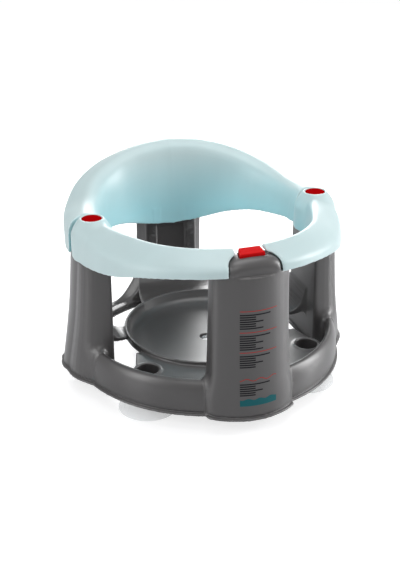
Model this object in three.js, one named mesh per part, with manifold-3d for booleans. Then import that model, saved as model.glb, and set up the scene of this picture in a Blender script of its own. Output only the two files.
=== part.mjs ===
import * as THREE from 'three';
import { mergeVertices } from 'three/addons/utils/BufferGeometryUtils.js';
import Module from 'manifold-3d';

const wasm = await Module();
wasm.setup();

// A baby bath seat: a grey moulded base on suction cups, with a seat bowl and four
// columns, carrying a pale ring. The ring is a fixed backrest and two gates that swing
// outwards on upright pins, held shut by a red push latch on the front column.
// Millimetres, +Z up. The front of the seat faces -Y and the child's left is -X.
// Heights are measured from the underside of the base, and the last group lifts the
// whole seat by the height of the suction cups.

// The outer faces of all four columns stand at one reach from the middle, and what
// belongs to the columns and the ring is set in from there. The gates and the backrest
// stand a gap above the side columns, and the latch hangs from the top of the gates.
const columnReach = 183.5;
const ringTop = 202.5;
const sideTop = 151.7;
const sideGap = 0.8;
const gateDepth = ringTop - sideTop - sideGap;

// Base
const cupLift = 18;
const rimInset = 17.7;
const baseRadius = columnReach - rimInset;
const footProud = 2.5;
const footThickness = 3;
const wall = 3;
const fitGap = 0.3;
const overrun = 40;

// Seat bowl
const bowlInset = 79.5;
const bowlRadius = columnReach - bowlInset;
const bowlRimHeight = 37;
const bowlSkirt = 9;
const bowlFloorHeight = 17.5;
const bowlUnderCount = 4;
const bowlFloorShares = [[0, 0], [0.5, 0.06], [0.8, 0.2], [0.94, 0.42], [0.985, 0.72], [1, 1]];

// Front rim, low rear bar, and the plates between rim and bowl
const rimHeight = 43.5;
const rimWidth = 14.5;
const rearBarHeight = 8;
const rearBarWidth = 10;
const plateDrop = 5;
const plateHeight = bowlRimHeight - plateDrop;
const plateHalfDegrees = 52.5;
const plateBackShares = [1, 0.375];
const plateSideShares = [1.0962, 0.7019];

// Side columns, as wide as the gates' barrels and the screws beside them need
const barrelRadius = 25.5;
const sideMargin = 17;
const sideHalfWidth = barrelRadius + sideMargin;
const sideDepth = 52.5;
const sideInner = columnReach - sideDepth;
const sideLean = 15.5;
const sideNarrowing = 3.5;
const columnCorner = 14;
const columnBow = 3;
const sideCutDepthShare = 0.94;
const sideCutWidthShare = 0.6093;

// Front column and the head on it
const frontDepth = 45.5;
const frontInner = columnReach - frontDepth;
const frontDropShare = 0.51;
const frontTop = ringTop - gateDepth * frontDropShare;
const frontHalfWidth = 50;
const frontLean = 7;
const frontNarrowing = 4.5;
const frontBow = 9;
const headHalfWidth = 33.3;
const headHeight = 22.5;
const headInset = 7.5;
const headFront = columnReach - headInset;
const headShoulder = 24;
const headBackWall = 7;

// Rear column
const rearDepth = 33.5;
const rearInner = columnReach - rearDepth;
const rearGap = 0.4;
const rearHalfWidth = 45;
const rearTaper = 9.5;
const rearLean = 6;
const rearFootHalfWidth = 88;
const rearPanelHalfWidth = 20;
const rearPanelDepth = 2;
const rearPanelMargin = 6;
const rearPanelHeight = 55.1;

// Webs from the bowl to the side columns and to the rear column
const webDrop = 4;
const webHeight = bowlRimHeight - webDrop;
const webThickness = 3.5;
const spokeWaist = 9;
const spokeOffset = 14.5;
const spokeRise = 38;
const spokeEnd = 28;
const rearWebWaist = 60;
const rearWebEnd = 44;
const rearWebRise = 24;

// Ring: radius of the gates at the front, heights of the gates and of the backrest
const ringInset = 9;
const ringRadius = columnReach - ringInset;
const backRise = 32.5;
const backTop = ringTop + backRise;
const ringWall = 3;
const gateEnd = 17.5;
const gateStartDegrees = 6;

// Hinges
const pinInset = 39.9;
const pinPlace = columnReach - pinInset;
const barrelGap = 0.5;
const hingeDegrees = 90;
const rearDegrees = 180;
const swingDegrees = 50;
const pinRadius = 4;
const pinHeadRadius = 8;
const pinHeadThickness = 3;
const pinClearance = 0.1;
const capRadius = 12.2;
const capThickness = 5.4;
const capDrop = 3.3;
const capTop = ringTop - capDrop;
const washerRadius = 10.5;
const washerThickness = 1.9;
const hubRadius = 9;
const bossLength = 20;
const nutRadius = 7;
const nutThickness = 3;

// Latch in the head
const buttonHalfWidth = 12.3;
const buttonFlare = 2.7;
const buttonInset = 24.5;
const buttonLength = 15;
const buttonRise = 3;
const buttonFront = columnReach - buttonInset;
const buttonBack = buttonFront - buttonLength;
const buttonCrest = buttonBack + buttonRise;
const buttonDrop = 0.1;
const buttonSlope = 3.2;
const buttonTop = ringTop - buttonDrop;
const buttonNose = buttonTop - buttonSlope;
const latchTravel = 4;
const stemHalfWidth = 8;
const yokeHalfDepth = 5;
const yokeInset = 25.5;
const yokePlace = columnReach - yokeInset;
const yokeThickness = 6;
const yokeDrop = 7;
const yokeHeight = frontTop - yokeDrop;
const toothHeight = 6.5;
const toothWidth = 4;
const springRadius = 5.5;
const springWire = 0.8;
const springTurns = 6;
const springTurnSteps = 8;
const springWireSteps = 5;
const spigotRadius = 3.6;
const spigotLength = 6;
const springSpace = 24;
const shelfHeight = yokeHeight - springSpace;
const shelfThickness = 3;
const shelfHalfWidth = 10;

// Cover on the back of the front column
const coverHalfWidth = 24;
const coverDrop = 20;
const coverRise = 13;
const coverBottom = shelfHeight - coverDrop;
const coverTop = frontTop + coverRise;
const coverThickness = 3;
const coverLip = 6;

// Screws
const screwRadius = 2;
const screwHeadRadius = 4;
const screwHeadHeight = 2.6;
const screwLength = 16;
const screwClearance = 0.3;
const screwMargin = 3.5;
const screwPlace = barrelRadius + screwMargin;
const screwInset = 30.5;
const screwReach = columnReach - screwInset;
const rearScrewPlace = 24;
const rearScrewInset = 21.5;
const rearScrewReach = columnReach - rearScrewInset;
const ribHalfWidth = 5;
const ribHeight = 24;
const coverScrewRadius = 1.5;
const coverScrewHead = 2.6;
const coverScrewLength = 5.5;

// Suction cups
const cupRadius = 36;
const cupPlaceShares = [0.558583, 0.463215];
const rearCupInset = 45.5;
const rearCupY = columnReach - rearCupInset;
const cupLip = 3;
const cupSkin = 2.2;
const cupNeckRadius = 5;
const cupKnobRadius = 8.4;
const cupKnobHeight = 6;
const rearBossRadius = 9;
const rearStemLength = 12;
const socketRadius = 13.5;
const socketFloor = 6;
const socketFloorThickness = 3;

// A ring section is a line of six corners, from the bottom of the
// outside over the top to the bottom of the inside, given at every 15 degrees. Radii
// are shares of ringRadius, drops are shares of gateDepth or backDepth below the top.
const gateRadiusShares = [
  [1.000, 0.997, 0.985, 0.971, 0.948, 0.950, 0.968],
  [0.991, 0.988, 0.976, 0.962, 0.940, 0.938, 0.946],
  [0.905, 0.900, 0.888, 0.872, 0.854, 0.852, 0.878],
  [0.825, 0.825, 0.820, 0.796, 0.762, 0.757, 0.823],
  [0.797, 0.797, 0.792, 0.770, 0.731, 0.719, 0.742],
  [0.785, 0.785, 0.781, 0.761, 0.722, 0.702, 0.690],
];
const gateDropShares = [
  [0.486, 0.498, 0.546, 0.660, 0.870, 0.965, 1.004],
  [0.250, 0.280, 0.330, 0.380, 0.415, 0.375, 0.345],
  [0.120, 0.120, 0.130, 0.170, 0.255, 0.230, 0.110],
  [0.000, 0.000, 0.004, 0.030, 0.070, 0.110, 0.076],
  [0.070, 0.070, 0.070, 0.090, 0.140, 0.210, 0.210],
  [0.486, 0.498, 0.546, 0.660, 0.870, 0.965, 1.004],
];
const backRadiusShares = [
  [0.972, 0.997, 1.014, 1.032, 1.037, 1.030, 1.025],
  [0.972, 1.000, 1.043, 1.083, 1.100, 1.068, 1.050],
  [0.905, 0.934, 0.968, 1.009, 1.020, 0.990, 0.975],
  [0.837, 0.843, 0.871, 0.917, 0.934, 0.911, 0.896],
  [0.745, 0.751, 0.779, 0.814, 0.831, 0.820, 0.814],
  [0.690, 0.722, 0.745, 0.768, 0.779, 0.782, 0.782],
];
const backDropShares = [
  [0.730, 0.733, 0.768, 0.801, 0.867, 0.956, 1.000],
  [0.425, 0.458, 0.442, 0.332, 0.230, 0.142, 0.106],
  [0.342, 0.386, 0.398, 0.282, 0.168, 0.075, 0.040],
  [0.322, 0.348, 0.340, 0.250, 0.124, 0.035, 0.000],
  [0.380, 0.400, 0.400, 0.336, 0.230, 0.142, 0.115],
  [0.730, 0.733, 0.768, 0.801, 0.867, 0.956, 1.000],
];
const sectionRoundShare = 0.42;

// The backrest's depth follows from its foot beside the hinges, and its lowest point
// carries down to the rear column
const backDepth = (backTop - sideTop - sideGap) / backDropShares[0][0];
const rearTop = backTop - backDepth - rearGap;
const rearPanelTop = rearTop - rearPanelMargin;
const rearPanelFoot = rearPanelTop - rearPanelHeight;

// The barrel of a gate's hinge from its bottom edge up and over to the cap
const barrelShares = [[1, 0], [1, 0.56], [0.95, 0.68], [0.83, 0.81], [0.69, 0.92], [0.56, 1]];

// How far each level of a column has come from its foot to its top, and how much of
// its lean it has taken up there.
const columnLevelShares = [0, 0.08, 0.27, 0.53, 1];
const columnLeanShares = [0, 0.12, 0.38, 0.68, 1];

// The rear column's foot: heights, and how much of the foot's flare is left there
const rearLevelShares = [0, 0.035, 0.085, 0.18, 0.30, 0.42, 1];
const rearWidthShares = [1, 0.84, 0.58, 0.33, 0.12, 0.03, 0];

// Half the side view of the head, from its flat top forwards and down, as shares of
// headShoulder and headHeight. Half its front view is a rounded arch.
const headNoseShares = [[1, 0], [0.66, 0.04], [0.38, 0.17], [0.14, 0.42], [0.03, 0.72], [0, 1]];
const archRoundShare = 0.8;
const rimTopShares = [[0, 0.52], [0.14, 0.78], [0.40, 0.95], [0.68, 1], [0.90, 0.95], [1, 0.82]];

// A suction cup's skirt from its lip up to its neck: shares of its radius and height
const cupShares = [[1, 0], [0.99, 0.12], [0.72, 0.38], [0.36, 0.62], [0.2, 0.68]];
const knobShare = 0.7;

const ringStepDegrees = 7.5;
const knotStepDegrees = 15;
const roundSteps = 3;
const circleSteps = 48;
const cupSteps = 20;
const archSteps = 18;
const columnCornerSteps = 4;
const smallCircleSteps = 16;

const colours = {
  grey: { color: 0x6f7073, roughness: 0.36, metalness: 0 },
  aqua: { color: 0xbcd6da, roughness: 0.3, metalness: 0 },
  red: { color: 0xc21f22, roughness: 0.3, metalness: 0 },
  clear: { color: 0xd8dde0, roughness: 0.2, metalness: 0 },
  steel: { color: 0xb4b6b8, roughness: 0.35, metalness: 1 },
  white: { color: 0xe4e4e0, roughness: 0.5, metalness: 0 },
};

const seat = new THREE.Group();

function addPiece(name, shape, finish, parent = seat) {
  const geometry = shape.isBufferGeometry ? shape : geometryOf(shape);
  geometry.computeVertexNormals();
  const mesh = new THREE.Mesh(geometry, new THREE.MeshStandardMaterial(colours[finish]));
  mesh.name = name;
  parent.add(mesh);
  return mesh;
}

// Solids and geometries

function solidOf(source) {
  const bare = source.clone();
  bare.deleteAttribute('normal');
  bare.deleteAttribute('uv');
  const merged = mergeVertices(bare);
  const places = Float32Array.from(merged.attributes.position.array);
  const faces = Uint32Array.from(merged.index.array);
  if (signedVolume(places, faces) < 0) {
    for (let i = 0; i < faces.length; i += 3) {
      [faces[i], faces[i + 1]] = [faces[i + 1], faces[i]];
    }
  }
  return new wasm.Manifold(new wasm.Mesh({ numProp: 3, vertProperties: places, triVerts: faces }));
}

function signedVolume(places, faces) {
  const a = new THREE.Vector3();
  const b = new THREE.Vector3();
  const c = new THREE.Vector3();
  let total = 0;
  for (let i = 0; i < faces.length; i += 3) {
    a.fromArray(places, faces[i] * 3);
    b.fromArray(places, faces[i + 1] * 3);
    c.fromArray(places, faces[i + 2] * 3);
    total += a.dot(b.cross(c));
  }
  return total;
}

function geometryOf(solid) {
  const mesh = solid.getMesh();
  const geometry = new THREE.BufferGeometry();
  geometry.setAttribute('position', new THREE.BufferAttribute(mesh.vertProperties, 3));
  geometry.setIndex(new THREE.BufferAttribute(mesh.triVerts, 1));
  return geometry;
}

function joined(solids) {
  return solids.reduce((sum, solid) => sum.add(solid));
}

function box(xRange, yRange, zRange) {
  const size = [xRange, yRange, zRange].map(([low, high]) => high - low);
  const middle = [xRange, yRange, zRange].map(([low, high]) => (low + high) / 2);
  const geometry = new THREE.BoxGeometry(...size);
  geometry.translate(...middle);
  return solidOf(geometry);
}

function cylinder(radius, low, high, x = 0, y = 0, steps = smallCircleSteps) {
  const geometry = new THREE.CylinderGeometry(radius, radius, high - low, steps);
  geometry.rotateX(Math.PI / 2);
  geometry.translate(x, y, (low + high) / 2);
  return solidOf(geometry);
}

function turned(profile, x = 0, y = 0, steps = smallCircleSteps) {
  const points = profile.map(([radius, height]) => new THREE.Vector2(radius, height));
  const geometry = new THREE.LatheGeometry(points, steps);
  geometry.rotateX(Math.PI / 2);
  geometry.translate(x, y, 0);
  return solidOf(geometry);
}

// A flat outline of [x, y] points raised from one height to another
function prism(outline, low, high) {
  const shape = new THREE.Shape(outline.map(([x, y]) => new THREE.Vector2(x, y)));
  const geometry = new THREE.ExtrudeGeometry(shape, { depth: high - low, bevelEnabled: false });
  geometry.translate(0, 0, low);
  return solidOf(geometry);
}

// A front view of [x, z] points carried from one y to another
function frontPrism(outline, near, far) {
  const shape = new THREE.Shape(outline.map(([x, z]) => new THREE.Vector2(x, z)));
  const geometry = new THREE.ExtrudeGeometry(shape, { depth: far - near, bevelEnabled: false });
  geometry.rotateX(Math.PI / 2);
  geometry.translate(0, far, 0);
  return solidOf(geometry);
}

// A side view of [y, z] points carried evenly to both sides of the middle plane
function sidePrism(outline, halfWidth) {
  const shape = new THREE.Shape(outline.map(([y, z]) => new THREE.Vector2(y, z)));
  const geometry = new THREE.ExtrudeGeometry(shape, { depth: halfWidth * 2, bevelEnabled: false });
  geometry.translate(0, 0, -halfWidth);
  geometry.rotateX(Math.PI / 2);
  geometry.rotateZ(Math.PI / 2);
  return solidOf(geometry);
}

// A skin over rows of points that all have the same count, closed by a cap at each end
function skin(rows, capOutline) {
  const count = rows[0].length;
  const places = rows.flat().flatMap((point) => point.toArray());
  const faces = [];
  for (let row = 0; row + 1 < rows.length; row += 1) {
    for (let i = 0; i < count; i += 1) {
      const next = (i + 1) % count;
      const a = row * count + i;
      const b = row * count + next;
      faces.push(a, b, b + count, a, b + count, a + count);
    }
  }
  const last = (rows.length - 1) * count;
  for (const [a, b, c] of THREE.ShapeUtils.triangulateShape(capOutline, [])) {
    faces.push(a, c, b, last + a, last + b, last + c);
  }
  const geometry = new THREE.BufferGeometry();
  geometry.setAttribute('position', new THREE.Float32BufferAttribute(places, 3));
  geometry.setIndex(faces);
  return solidOf(geometry);
}

// Ring

// A smooth value from a row of shares that stand knotStepDegrees apart
function shareAt(shares, degrees) {
  const place = Math.min(Math.max(degrees / knotStepDegrees, 0), shares.length - 1);
  const i = Math.min(Math.floor(place), shares.length - 2);
  const t = place - i;
  const before = shares[Math.max(i - 1, 0)];
  const after = shares[Math.min(i + 2, shares.length - 1)];
  const from = (shares[i + 1] - before) / 2;
  const to = (after - shares[i]) / 2;
  const rise = shares[i + 1] - shares[i];
  return shares[i] + from * t + (3 * rise - 2 * from - to) * t ** 2 + (from + to - 2 * rise) * t ** 3;
}

function rounded(corners) {
  const points = [corners[0]];
  for (let i = 1; i + 1 < corners.length; i += 1) {
    const start = corners[i].clone().lerp(corners[i - 1], sectionRoundShare);
    const end = corners[i].clone().lerp(corners[i + 1], sectionRoundShare);
    points.push(...new THREE.QuadraticBezierCurve(start, corners[i], end).getPoints(roundSteps));
  }
  points.push(corners[corners.length - 1]);
  return points;
}

// The same line of corners moved inwards by a distance, with its two ends run on
// downwards along the walls
function inset(corners, distance) {
  const normals = corners.slice(1).map((corner, i) => {
    const along = corner.clone().sub(corners[i]).normalize();
    return new THREE.Vector2(-along.y, along.x);
  });
  return corners.map((corner, i) => {
    const first = normals[Math.max(i - 1, 0)];
    const second = normals[Math.min(i, normals.length - 1)];
    const middle = first.clone().add(second).normalize();
    const moved = corner.clone().addScaledVector(middle, distance / middle.dot(first));
    if (i === 0 || i === corners.length - 1) {
      const neighbour = corners[i === 0 ? 1 : i - 1];
      moved.addScaledVector(corner.clone().sub(neighbour).normalize(), overrun);
    }
    return moved;
  });
}

function gateCorners(degrees) {
  return gateRadiusShares.map((radii, i) => new THREE.Vector2(
    shareAt(radii, degrees) * ringRadius,
    ringTop - shareAt(gateDropShares[i], degrees) * gateDepth,
  ));
}

function backCorners(degrees) {
  return backRadiusShares.map((radii, i) => new THREE.Vector2(
    shareAt(radii, degrees - hingeDegrees) * ringRadius,
    backTop - shareAt(backDropShares[i], degrees - hingeDegrees) * backDepth,
  ));
}

// A swept ring piece between two angles. An angle is counted from the front, and a
// negative one lies on the child's left.
function ringSweep(cornersAt, from, to, distance = 0) {
  const steps = Math.round(Math.abs(to - from) / ringStepDegrees);
  const rows = [];
  let outline;
  for (let i = 0; i <= steps; i += 1) {
    const degrees = from + ((to - from) * i) / steps;
    const corners = cornersAt(rearDegrees - Math.abs(rearDegrees - Math.abs(degrees)));
    const line = rounded(distance > 0 ? inset(corners, distance) : corners);
    const angle = THREE.MathUtils.degToRad(degrees);
    const [across, forwards] = [Math.sin(angle), -Math.cos(angle)];
    rows.push(line.map(({ x, y }) => new THREE.Vector3(x * across, x * forwards, y)));
    outline = line;
  }
  return skin(rows, outline);
}

// The space that a gate needs at its hinge: the barrel's circle, and what its outer
// face sweeps up to its stop
function hingeSpace(side, clearance) {
  const radius = barrelRadius + clearance;
  const angle = THREE.MathUtils.degToRad(swingDegrees);
  const tangent = [pinPlace + radius * Math.cos(angle), radius * Math.sin(angle)];
  const reach = ringRadius - pinPlace + overrun;
  const far = [tangent[0] + reach * Math.sin(angle), tangent[1] - reach * Math.cos(angle)];
  const sweep = [[pinPlace, 0], [pinPlace, -overrun], [far[0], -overrun], far, tangent];
  const flat = prism(sweep.map(([x, y]) => [side * x, y]), 0, backTop + overrun);
  return flat.add(cylinder(radius, 0, backTop + overrun, side * pinPlace, 0, circleSteps / 2));
}

// Columns

function columnOutline({ halfWidth, taper = 0, inner, outer, bow, isCut }) {
  const shoulder = outer - bow;
  const innerHalf = halfWidth - taper;
  const small = columnCorner / 4;
  const cutDepth = isCut ? sideCutDepthShare * (shoulder - inner - small) : columnCorner;
  const cutWidth = isCut ? sideCutWidthShare * (halfWidth * 2 - columnCorner) : columnCorner;
  const shape = new THREE.Shape();
  shape.moveTo(small - innerHalf, inner);
  shape.lineTo(innerHalf - small, inner);
  shape.lineTo(innerHalf, inner + small);
  shape.lineTo(halfWidth, shoulder - columnCorner);
  shape.quadraticCurveTo(halfWidth, shoulder, halfWidth - columnCorner, shoulder);
  shape.quadraticCurveTo((cutWidth - columnCorner) / 2, outer + bow, cutWidth - halfWidth, shoulder);
  shape.quadraticCurveTo(-halfWidth, shoulder, -halfWidth, shoulder - cutDepth);
  shape.lineTo(-innerHalf, inner + small);
  shape.lineTo(small - innerHalf, inner);
  const points = shape.getPoints(columnCornerSteps);
  points.pop();
  return points;
}

// Levels of a column, skinned and turned so that its outer face looks along the given
// angle from the front. Flipped, the outline's right-hand side lies on its left.
function columnSolid(levels, degrees, flip = 1) {
  const angle = THREE.MathUtils.degToRad(degrees);
  let outline;
  const rows = levels.map((level) => {
    outline = columnOutline(level);
    return outline.map(({ x, y }) => new THREE.Vector3(
      flip * x * Math.cos(angle) + y * Math.sin(angle),
      flip * x * Math.sin(angle) - y * Math.cos(angle),
      level.height,
    ));
  });
  return skin(rows, outline);
}

function leaningLevels(size) {
  return columnLevelShares.map((share, i) => {
    const outer = columnReach - size.lean * columnLeanShares[i];
    return {
      height: size.top * share,
      halfWidth: size.halfWidth - size.narrowing * columnLeanShares[i],
      inner: size.inner,
      outer,
      bow: size.bow,
      isCut: size.isCut,
    };
  });
}

function rearLevels() {
  return rearLevelShares.map((share, i) => {
    const halfWidth = rearHalfWidth + (rearFootHalfWidth - rearHalfWidth) * rearWidthShares[i];
    const outer = columnReach - rearLean * share;
    return {
      height: rearTop * share,
      halfWidth,
      taper: rearTaper,
      inner: rearInner,
      outer,
      bow: (halfWidth - columnCorner) ** 2 / (2 * outer),
    };
  });
}

// The hollow of a column: its levels moved in by the wall, open below
function hollowLevels(levels, innerWall = wall) {
  return levels.map((level, i) => ({
    ...level,
    height: level.height + (i === 0 ? -overrun : 0) - (i === levels.length - 1 ? wall : 0),
    halfWidth: level.halfWidth - wall,
    inner: level.inner + innerWall,
    outer: level.outer - wall,
  }));
}

const sideSize = {
  top: sideTop,
  halfWidth: sideHalfWidth,
  narrowing: sideNarrowing,
  inner: sideInner,
  lean: sideLean,
  bow: columnBow,
  isCut: true,
};
const frontSize = {
  top: frontTop,
  halfWidth: frontHalfWidth,
  narrowing: frontNarrowing,
  inner: frontInner,
  lean: frontLean,
  bow: frontBow,
};

// Head on the front column: an arch seen from the front, a nose seen from the side

function archOutline(grow) {
  const halfWidth = headHalfWidth + grow;
  const points = [];
  for (let i = 0; i <= archSteps; i += 1) {
    const angle = (Math.PI * i) / archSteps;
    const across = Math.sign(Math.cos(angle)) * Math.abs(Math.cos(angle)) ** archRoundShare;
    const up = Math.sin(angle) ** archRoundShare;
    points.push([halfWidth * across, frontTop + (headHeight + grow) * up]);
  }
  return points;
}

// Grown it is the space that the gates leave free, which goes on behind the head
function headSolid(grow) {
  const backs = { '-1': -frontInner - headBackWall, 0: -frontInner, 1: overrun - frontInner };
  const foot = [1, -1].map((side) => [side * (headHalfWidth + grow), frontTop - wall]);
  const arch = frontPrism(
    [foot[0], ...archOutline(grow), foot[1]],
    -headFront - overrun,
    backs[Math.sign(grow)],
  );
  const nose = headNoseShares.map(([along, down]) => [
    -headFront - grow + headShoulder * along,
    frontTop + grow + headHeight * (1 - down),
  ]);
  const lastPoint = nose[nose.length - 1];
  const side = [
    [overrun - frontInner, frontTop + grow + headHeight],
    ...nose,
    [lastPoint[0], frontTop - overrun],
    [overrun - frontInner, frontTop - overrun],
  ];
  return arch.intersect(sidePrism(side, headHalfWidth + overrun));
}

// Base

function rimOutline(grow) {
  const inner = baseRadius - rimWidth;
  const crown = rimTopShares.map(([along, up]) => [
    baseRadius - (rimWidth * along) + grow * (1 - 2 * along),
    rimHeight * up + grow,
  ]);
  const foot = grow < 0 ? -overrun : 0;
  return [[baseRadius + grow, foot], ...crown, [inner - grow, foot]];
}

function rimRing(grow) {
  const outline = rimOutline(grow);
  const full = turned([...outline, outline[0]], 0, 0, circleSteps);
  return full.intersect(box([-ringRadius, ringRadius], [-ringRadius, 0], [-overrun, ringTop]));
}

function ringPrism(inner, outer, low, high) {
  const outside = cylinder(outer, low, high, 0, 0, circleSteps);
  return outside.subtract(cylinder(inner, low - overrun, high + overrun, 0, 0, circleSteps));
}

function rearBar(grow) {
  const low = grow < 0 ? -overrun : 0;
  const bar = ringPrism(baseRadius - rearBarWidth - grow, baseRadius + grow, low, rearBarHeight + grow);
  return bar.intersect(box([-ringRadius, ringRadius], [0, ringRadius], [-overrun, ringTop]));
}

// The thin plate between the front rim and the bowl, seen from above
function frontPlate() {
  const outer = baseRadius - rimWidth / 2;
  const edge = THREE.MathUtils.degToRad(plateHalfDegrees);
  const outline = [];
  for (let i = 0; i <= smallCircleSteps; i += 1) {
    const angle = -edge + (2 * edge * i) / smallCircleSteps;
    outline.push([outer * Math.sin(angle), -outer * Math.cos(angle)]);
  }
  const [backX, backY] = plateBackShares.map((share) => share * bowlRadius);
  const [sideX, sideY] = plateSideShares.map((share) => share * bowlRadius);
  outline.push([sideX, -sideY], [backX, -backY], [-backX, -backY], [-sideX, -sideY]);
  return prism(outline, plateHeight - webThickness, plateHeight);
}

// A thin web that runs out from the bowl and curves up into a column. Seen from above
// it lies along +Y, waisted between its two ends.
function webPlan(size) {
  const near = bowlRadius / 2;
  const middle = (bowlRadius + size.columnFace) / 2;
  const far = size.columnFace + wall / 2;
  const plan = new THREE.Shape();
  plan.moveTo(size.offset - size.waist, near);
  plan.quadraticCurveTo(size.offset - size.waist, middle, size.offset - size.end, far);
  plan.lineTo(size.offset + size.end, far);
  plan.quadraticCurveTo(size.offset + size.waist, middle, size.offset + size.waist, near);
  return plan.getPoints(6);
}

function webSolid(size, degrees) {
  const plan = new THREE.ExtrudeGeometry(
    new THREE.Shape(webPlan(size)),
    { depth: webHeight + size.rise, bevelEnabled: false },
  );
  const near = bowlRadius / 2;
  const face = size.columnFace;
  const far = face + wall / 2;
  const low = webHeight - webThickness;
  const curve = new THREE.Shape();
  curve.moveTo(near, low);
  curve.lineTo(bowlRadius, low);
  curve.quadraticCurveTo(face, low, far, low + size.rise / 2);
  curve.lineTo(far, webHeight + size.rise);
  curve.lineTo(face, webHeight + size.rise);
  curve.quadraticCurveTo(face - webThickness, webHeight, bowlRadius, webHeight);
  curve.lineTo(near, webHeight);
  const across = size.waist + size.end;
  const sideView = sidePrism(curve.getPoints(6).map(({ x, y }) => [x, y]), across);
  const web = solidOf(plan).intersect(sideView);
  return rotated(web, degrees);
}

// Turned about the upright axis from +Y towards an angle counted from the front
function rotated(solid, degrees) {
  const geometry = geometryOf(solid);
  geometry.rotateZ(THREE.MathUtils.degToRad(degrees - rearDegrees));
  return solidOf(geometry);
}

function webs() {
  const spoke = { columnFace: sideInner, waist: spokeWaist, end: spokeEnd, rise: spokeRise };
  const rear = {
    columnFace: rearInner,
    waist: rearWebWaist,
    end: rearWebEnd,
    rise: rearWebRise,
    offset: 0,
  };
  return joined([
    webSolid({ ...spoke, offset: -spokeOffset }, hingeDegrees),
    webSolid({ ...spoke, offset: spokeOffset }, -hingeDegrees),
    webSolid(rear, rearDegrees),
  ]);
}

// The bowl's upper surface from its middle outwards, at a distance under it
function bowlLine(under) {
  const inside = bowlRadius - wall;
  const rise = bowlRimHeight - bowlFloorHeight;
  return bowlFloorShares.map(([out, up]) => [
    out * (inside + (out < 1 ? 0 : under)),
    bowlFloorHeight + up * rise - under,
  ]);
}

function bowlSolid() {
  const under = bowlLine(wall).slice(0, bowlUnderCount).reverse();
  return turned([
    ...bowlLine(0),
    [bowlRadius, bowlRimHeight],
    [bowlRadius, bowlRimHeight - bowlSkirt],
    ...under,
  ], 0, 0, circleSteps);
}

function socketTube(x, y) {
  return cylinder(socketRadius + wall, socketFloor, plateHeight, x, y);
}

function frontCups() {
  const [x, y] = cupPlaceShares.map((share) => share * columnReach);
  return [-1, 1].map((side) => [side * x, -y]);
}

function rearBoss() {
  return cylinder(rearBossRadius, socketFloor, webHeight, 0, rearCupY);
}

// A thin flange round the foot of every column and of the rim
function footFlange() {
  const grown = (level) => ({
    ...level,
    outer: level.outer + footProud,
    halfWidth: level.halfWidth + footProud,
  });
  const flange = (level, degrees, flip) => {
    const foot = grown(level);
    return columnSolid([{ ...foot, height: 0 }, { ...foot, height: footThickness }], degrees, flip);
  };
  const ring = ringPrism(baseRadius - rearBarWidth, baseRadius + footProud, 0, footThickness);
  return joined([
    ring,
    flange(leaningLevels(frontSize)[0], 0, 1),
    flange(leaningLevels(sideSize)[0], hingeDegrees, 1),
    flange(leaningLevels(sideSize)[0], -hingeDegrees, -1),
    flange(rearLevels()[0], rearDegrees, 1),
  ]);
}

// Rim, bar, columns and head as full bodies, with the flange round their foot
function shellOutside() {
  return joined([
    rimRing(0),
    rearBar(0),
    columnSolid(leaningLevels(frontSize), 0),
    headSolid(0),
    columnSolid(leaningLevels(sideSize), hingeDegrees),
    columnSolid(leaningLevels(sideSize), -hingeDegrees, -1),
    columnSolid(rearLevels(), rearDegrees),
    footFlange(),
  ]);
}

// The space inside all of them, open below
function shellHollow() {
  return joined([
    rimRing(-wall),
    rearBar(-wall),
    columnSolid(hollowLevels(leaningLevels(frontSize), headBackWall), 0),
    headSolid(-wall),
    columnSolid(hollowLevels(leaningLevels(sideSize)), hingeDegrees),
    columnSolid(hollowLevels(leaningLevels(sideSize)), -hingeDegrees, -1),
    columnSolid(hollowLevels(rearLevels(), wall + rearPanelDepth), rearDegrees),
  ]);
}

// Tubes under the side columns' tops that the hinge pins pass through
function pinBosses() {
  const [low, high] = [sideTop - bossLength, sideTop];
  return joined([-1, 1].map((side) => cylinder(hubRadius, low, high, side * pinPlace, 0)));
}

function baseSolid() {
  const shell = shellOutside().subtract(shellHollow().subtract(pinBosses()));
  const inside = bowlRadius - wall;
  const overBowl = turned([...bowlLine(0), [inside, rearTop], [0, rearTop]], 0, 0, circleSteps);
  const underBowl = turned([
    ...bowlLine(wall).slice(0, bowlUnderCount),
    [bowlRadius, bowlRimHeight - bowlSkirt],
    [bowlRadius, -overrun],
    [0, -overrun],
  ], 0, 0, circleSteps);
  const plates = joined([frontPlate(), webs()]).subtract(overBowl).subtract(underBowl);
  const bosses = [rearBoss(), ...frontCups().map(([x, y]) => socketTube(x, y))];
  return cutFixings(joined([shell, plates, bowlSolid(), ...bosses]));
}

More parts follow.
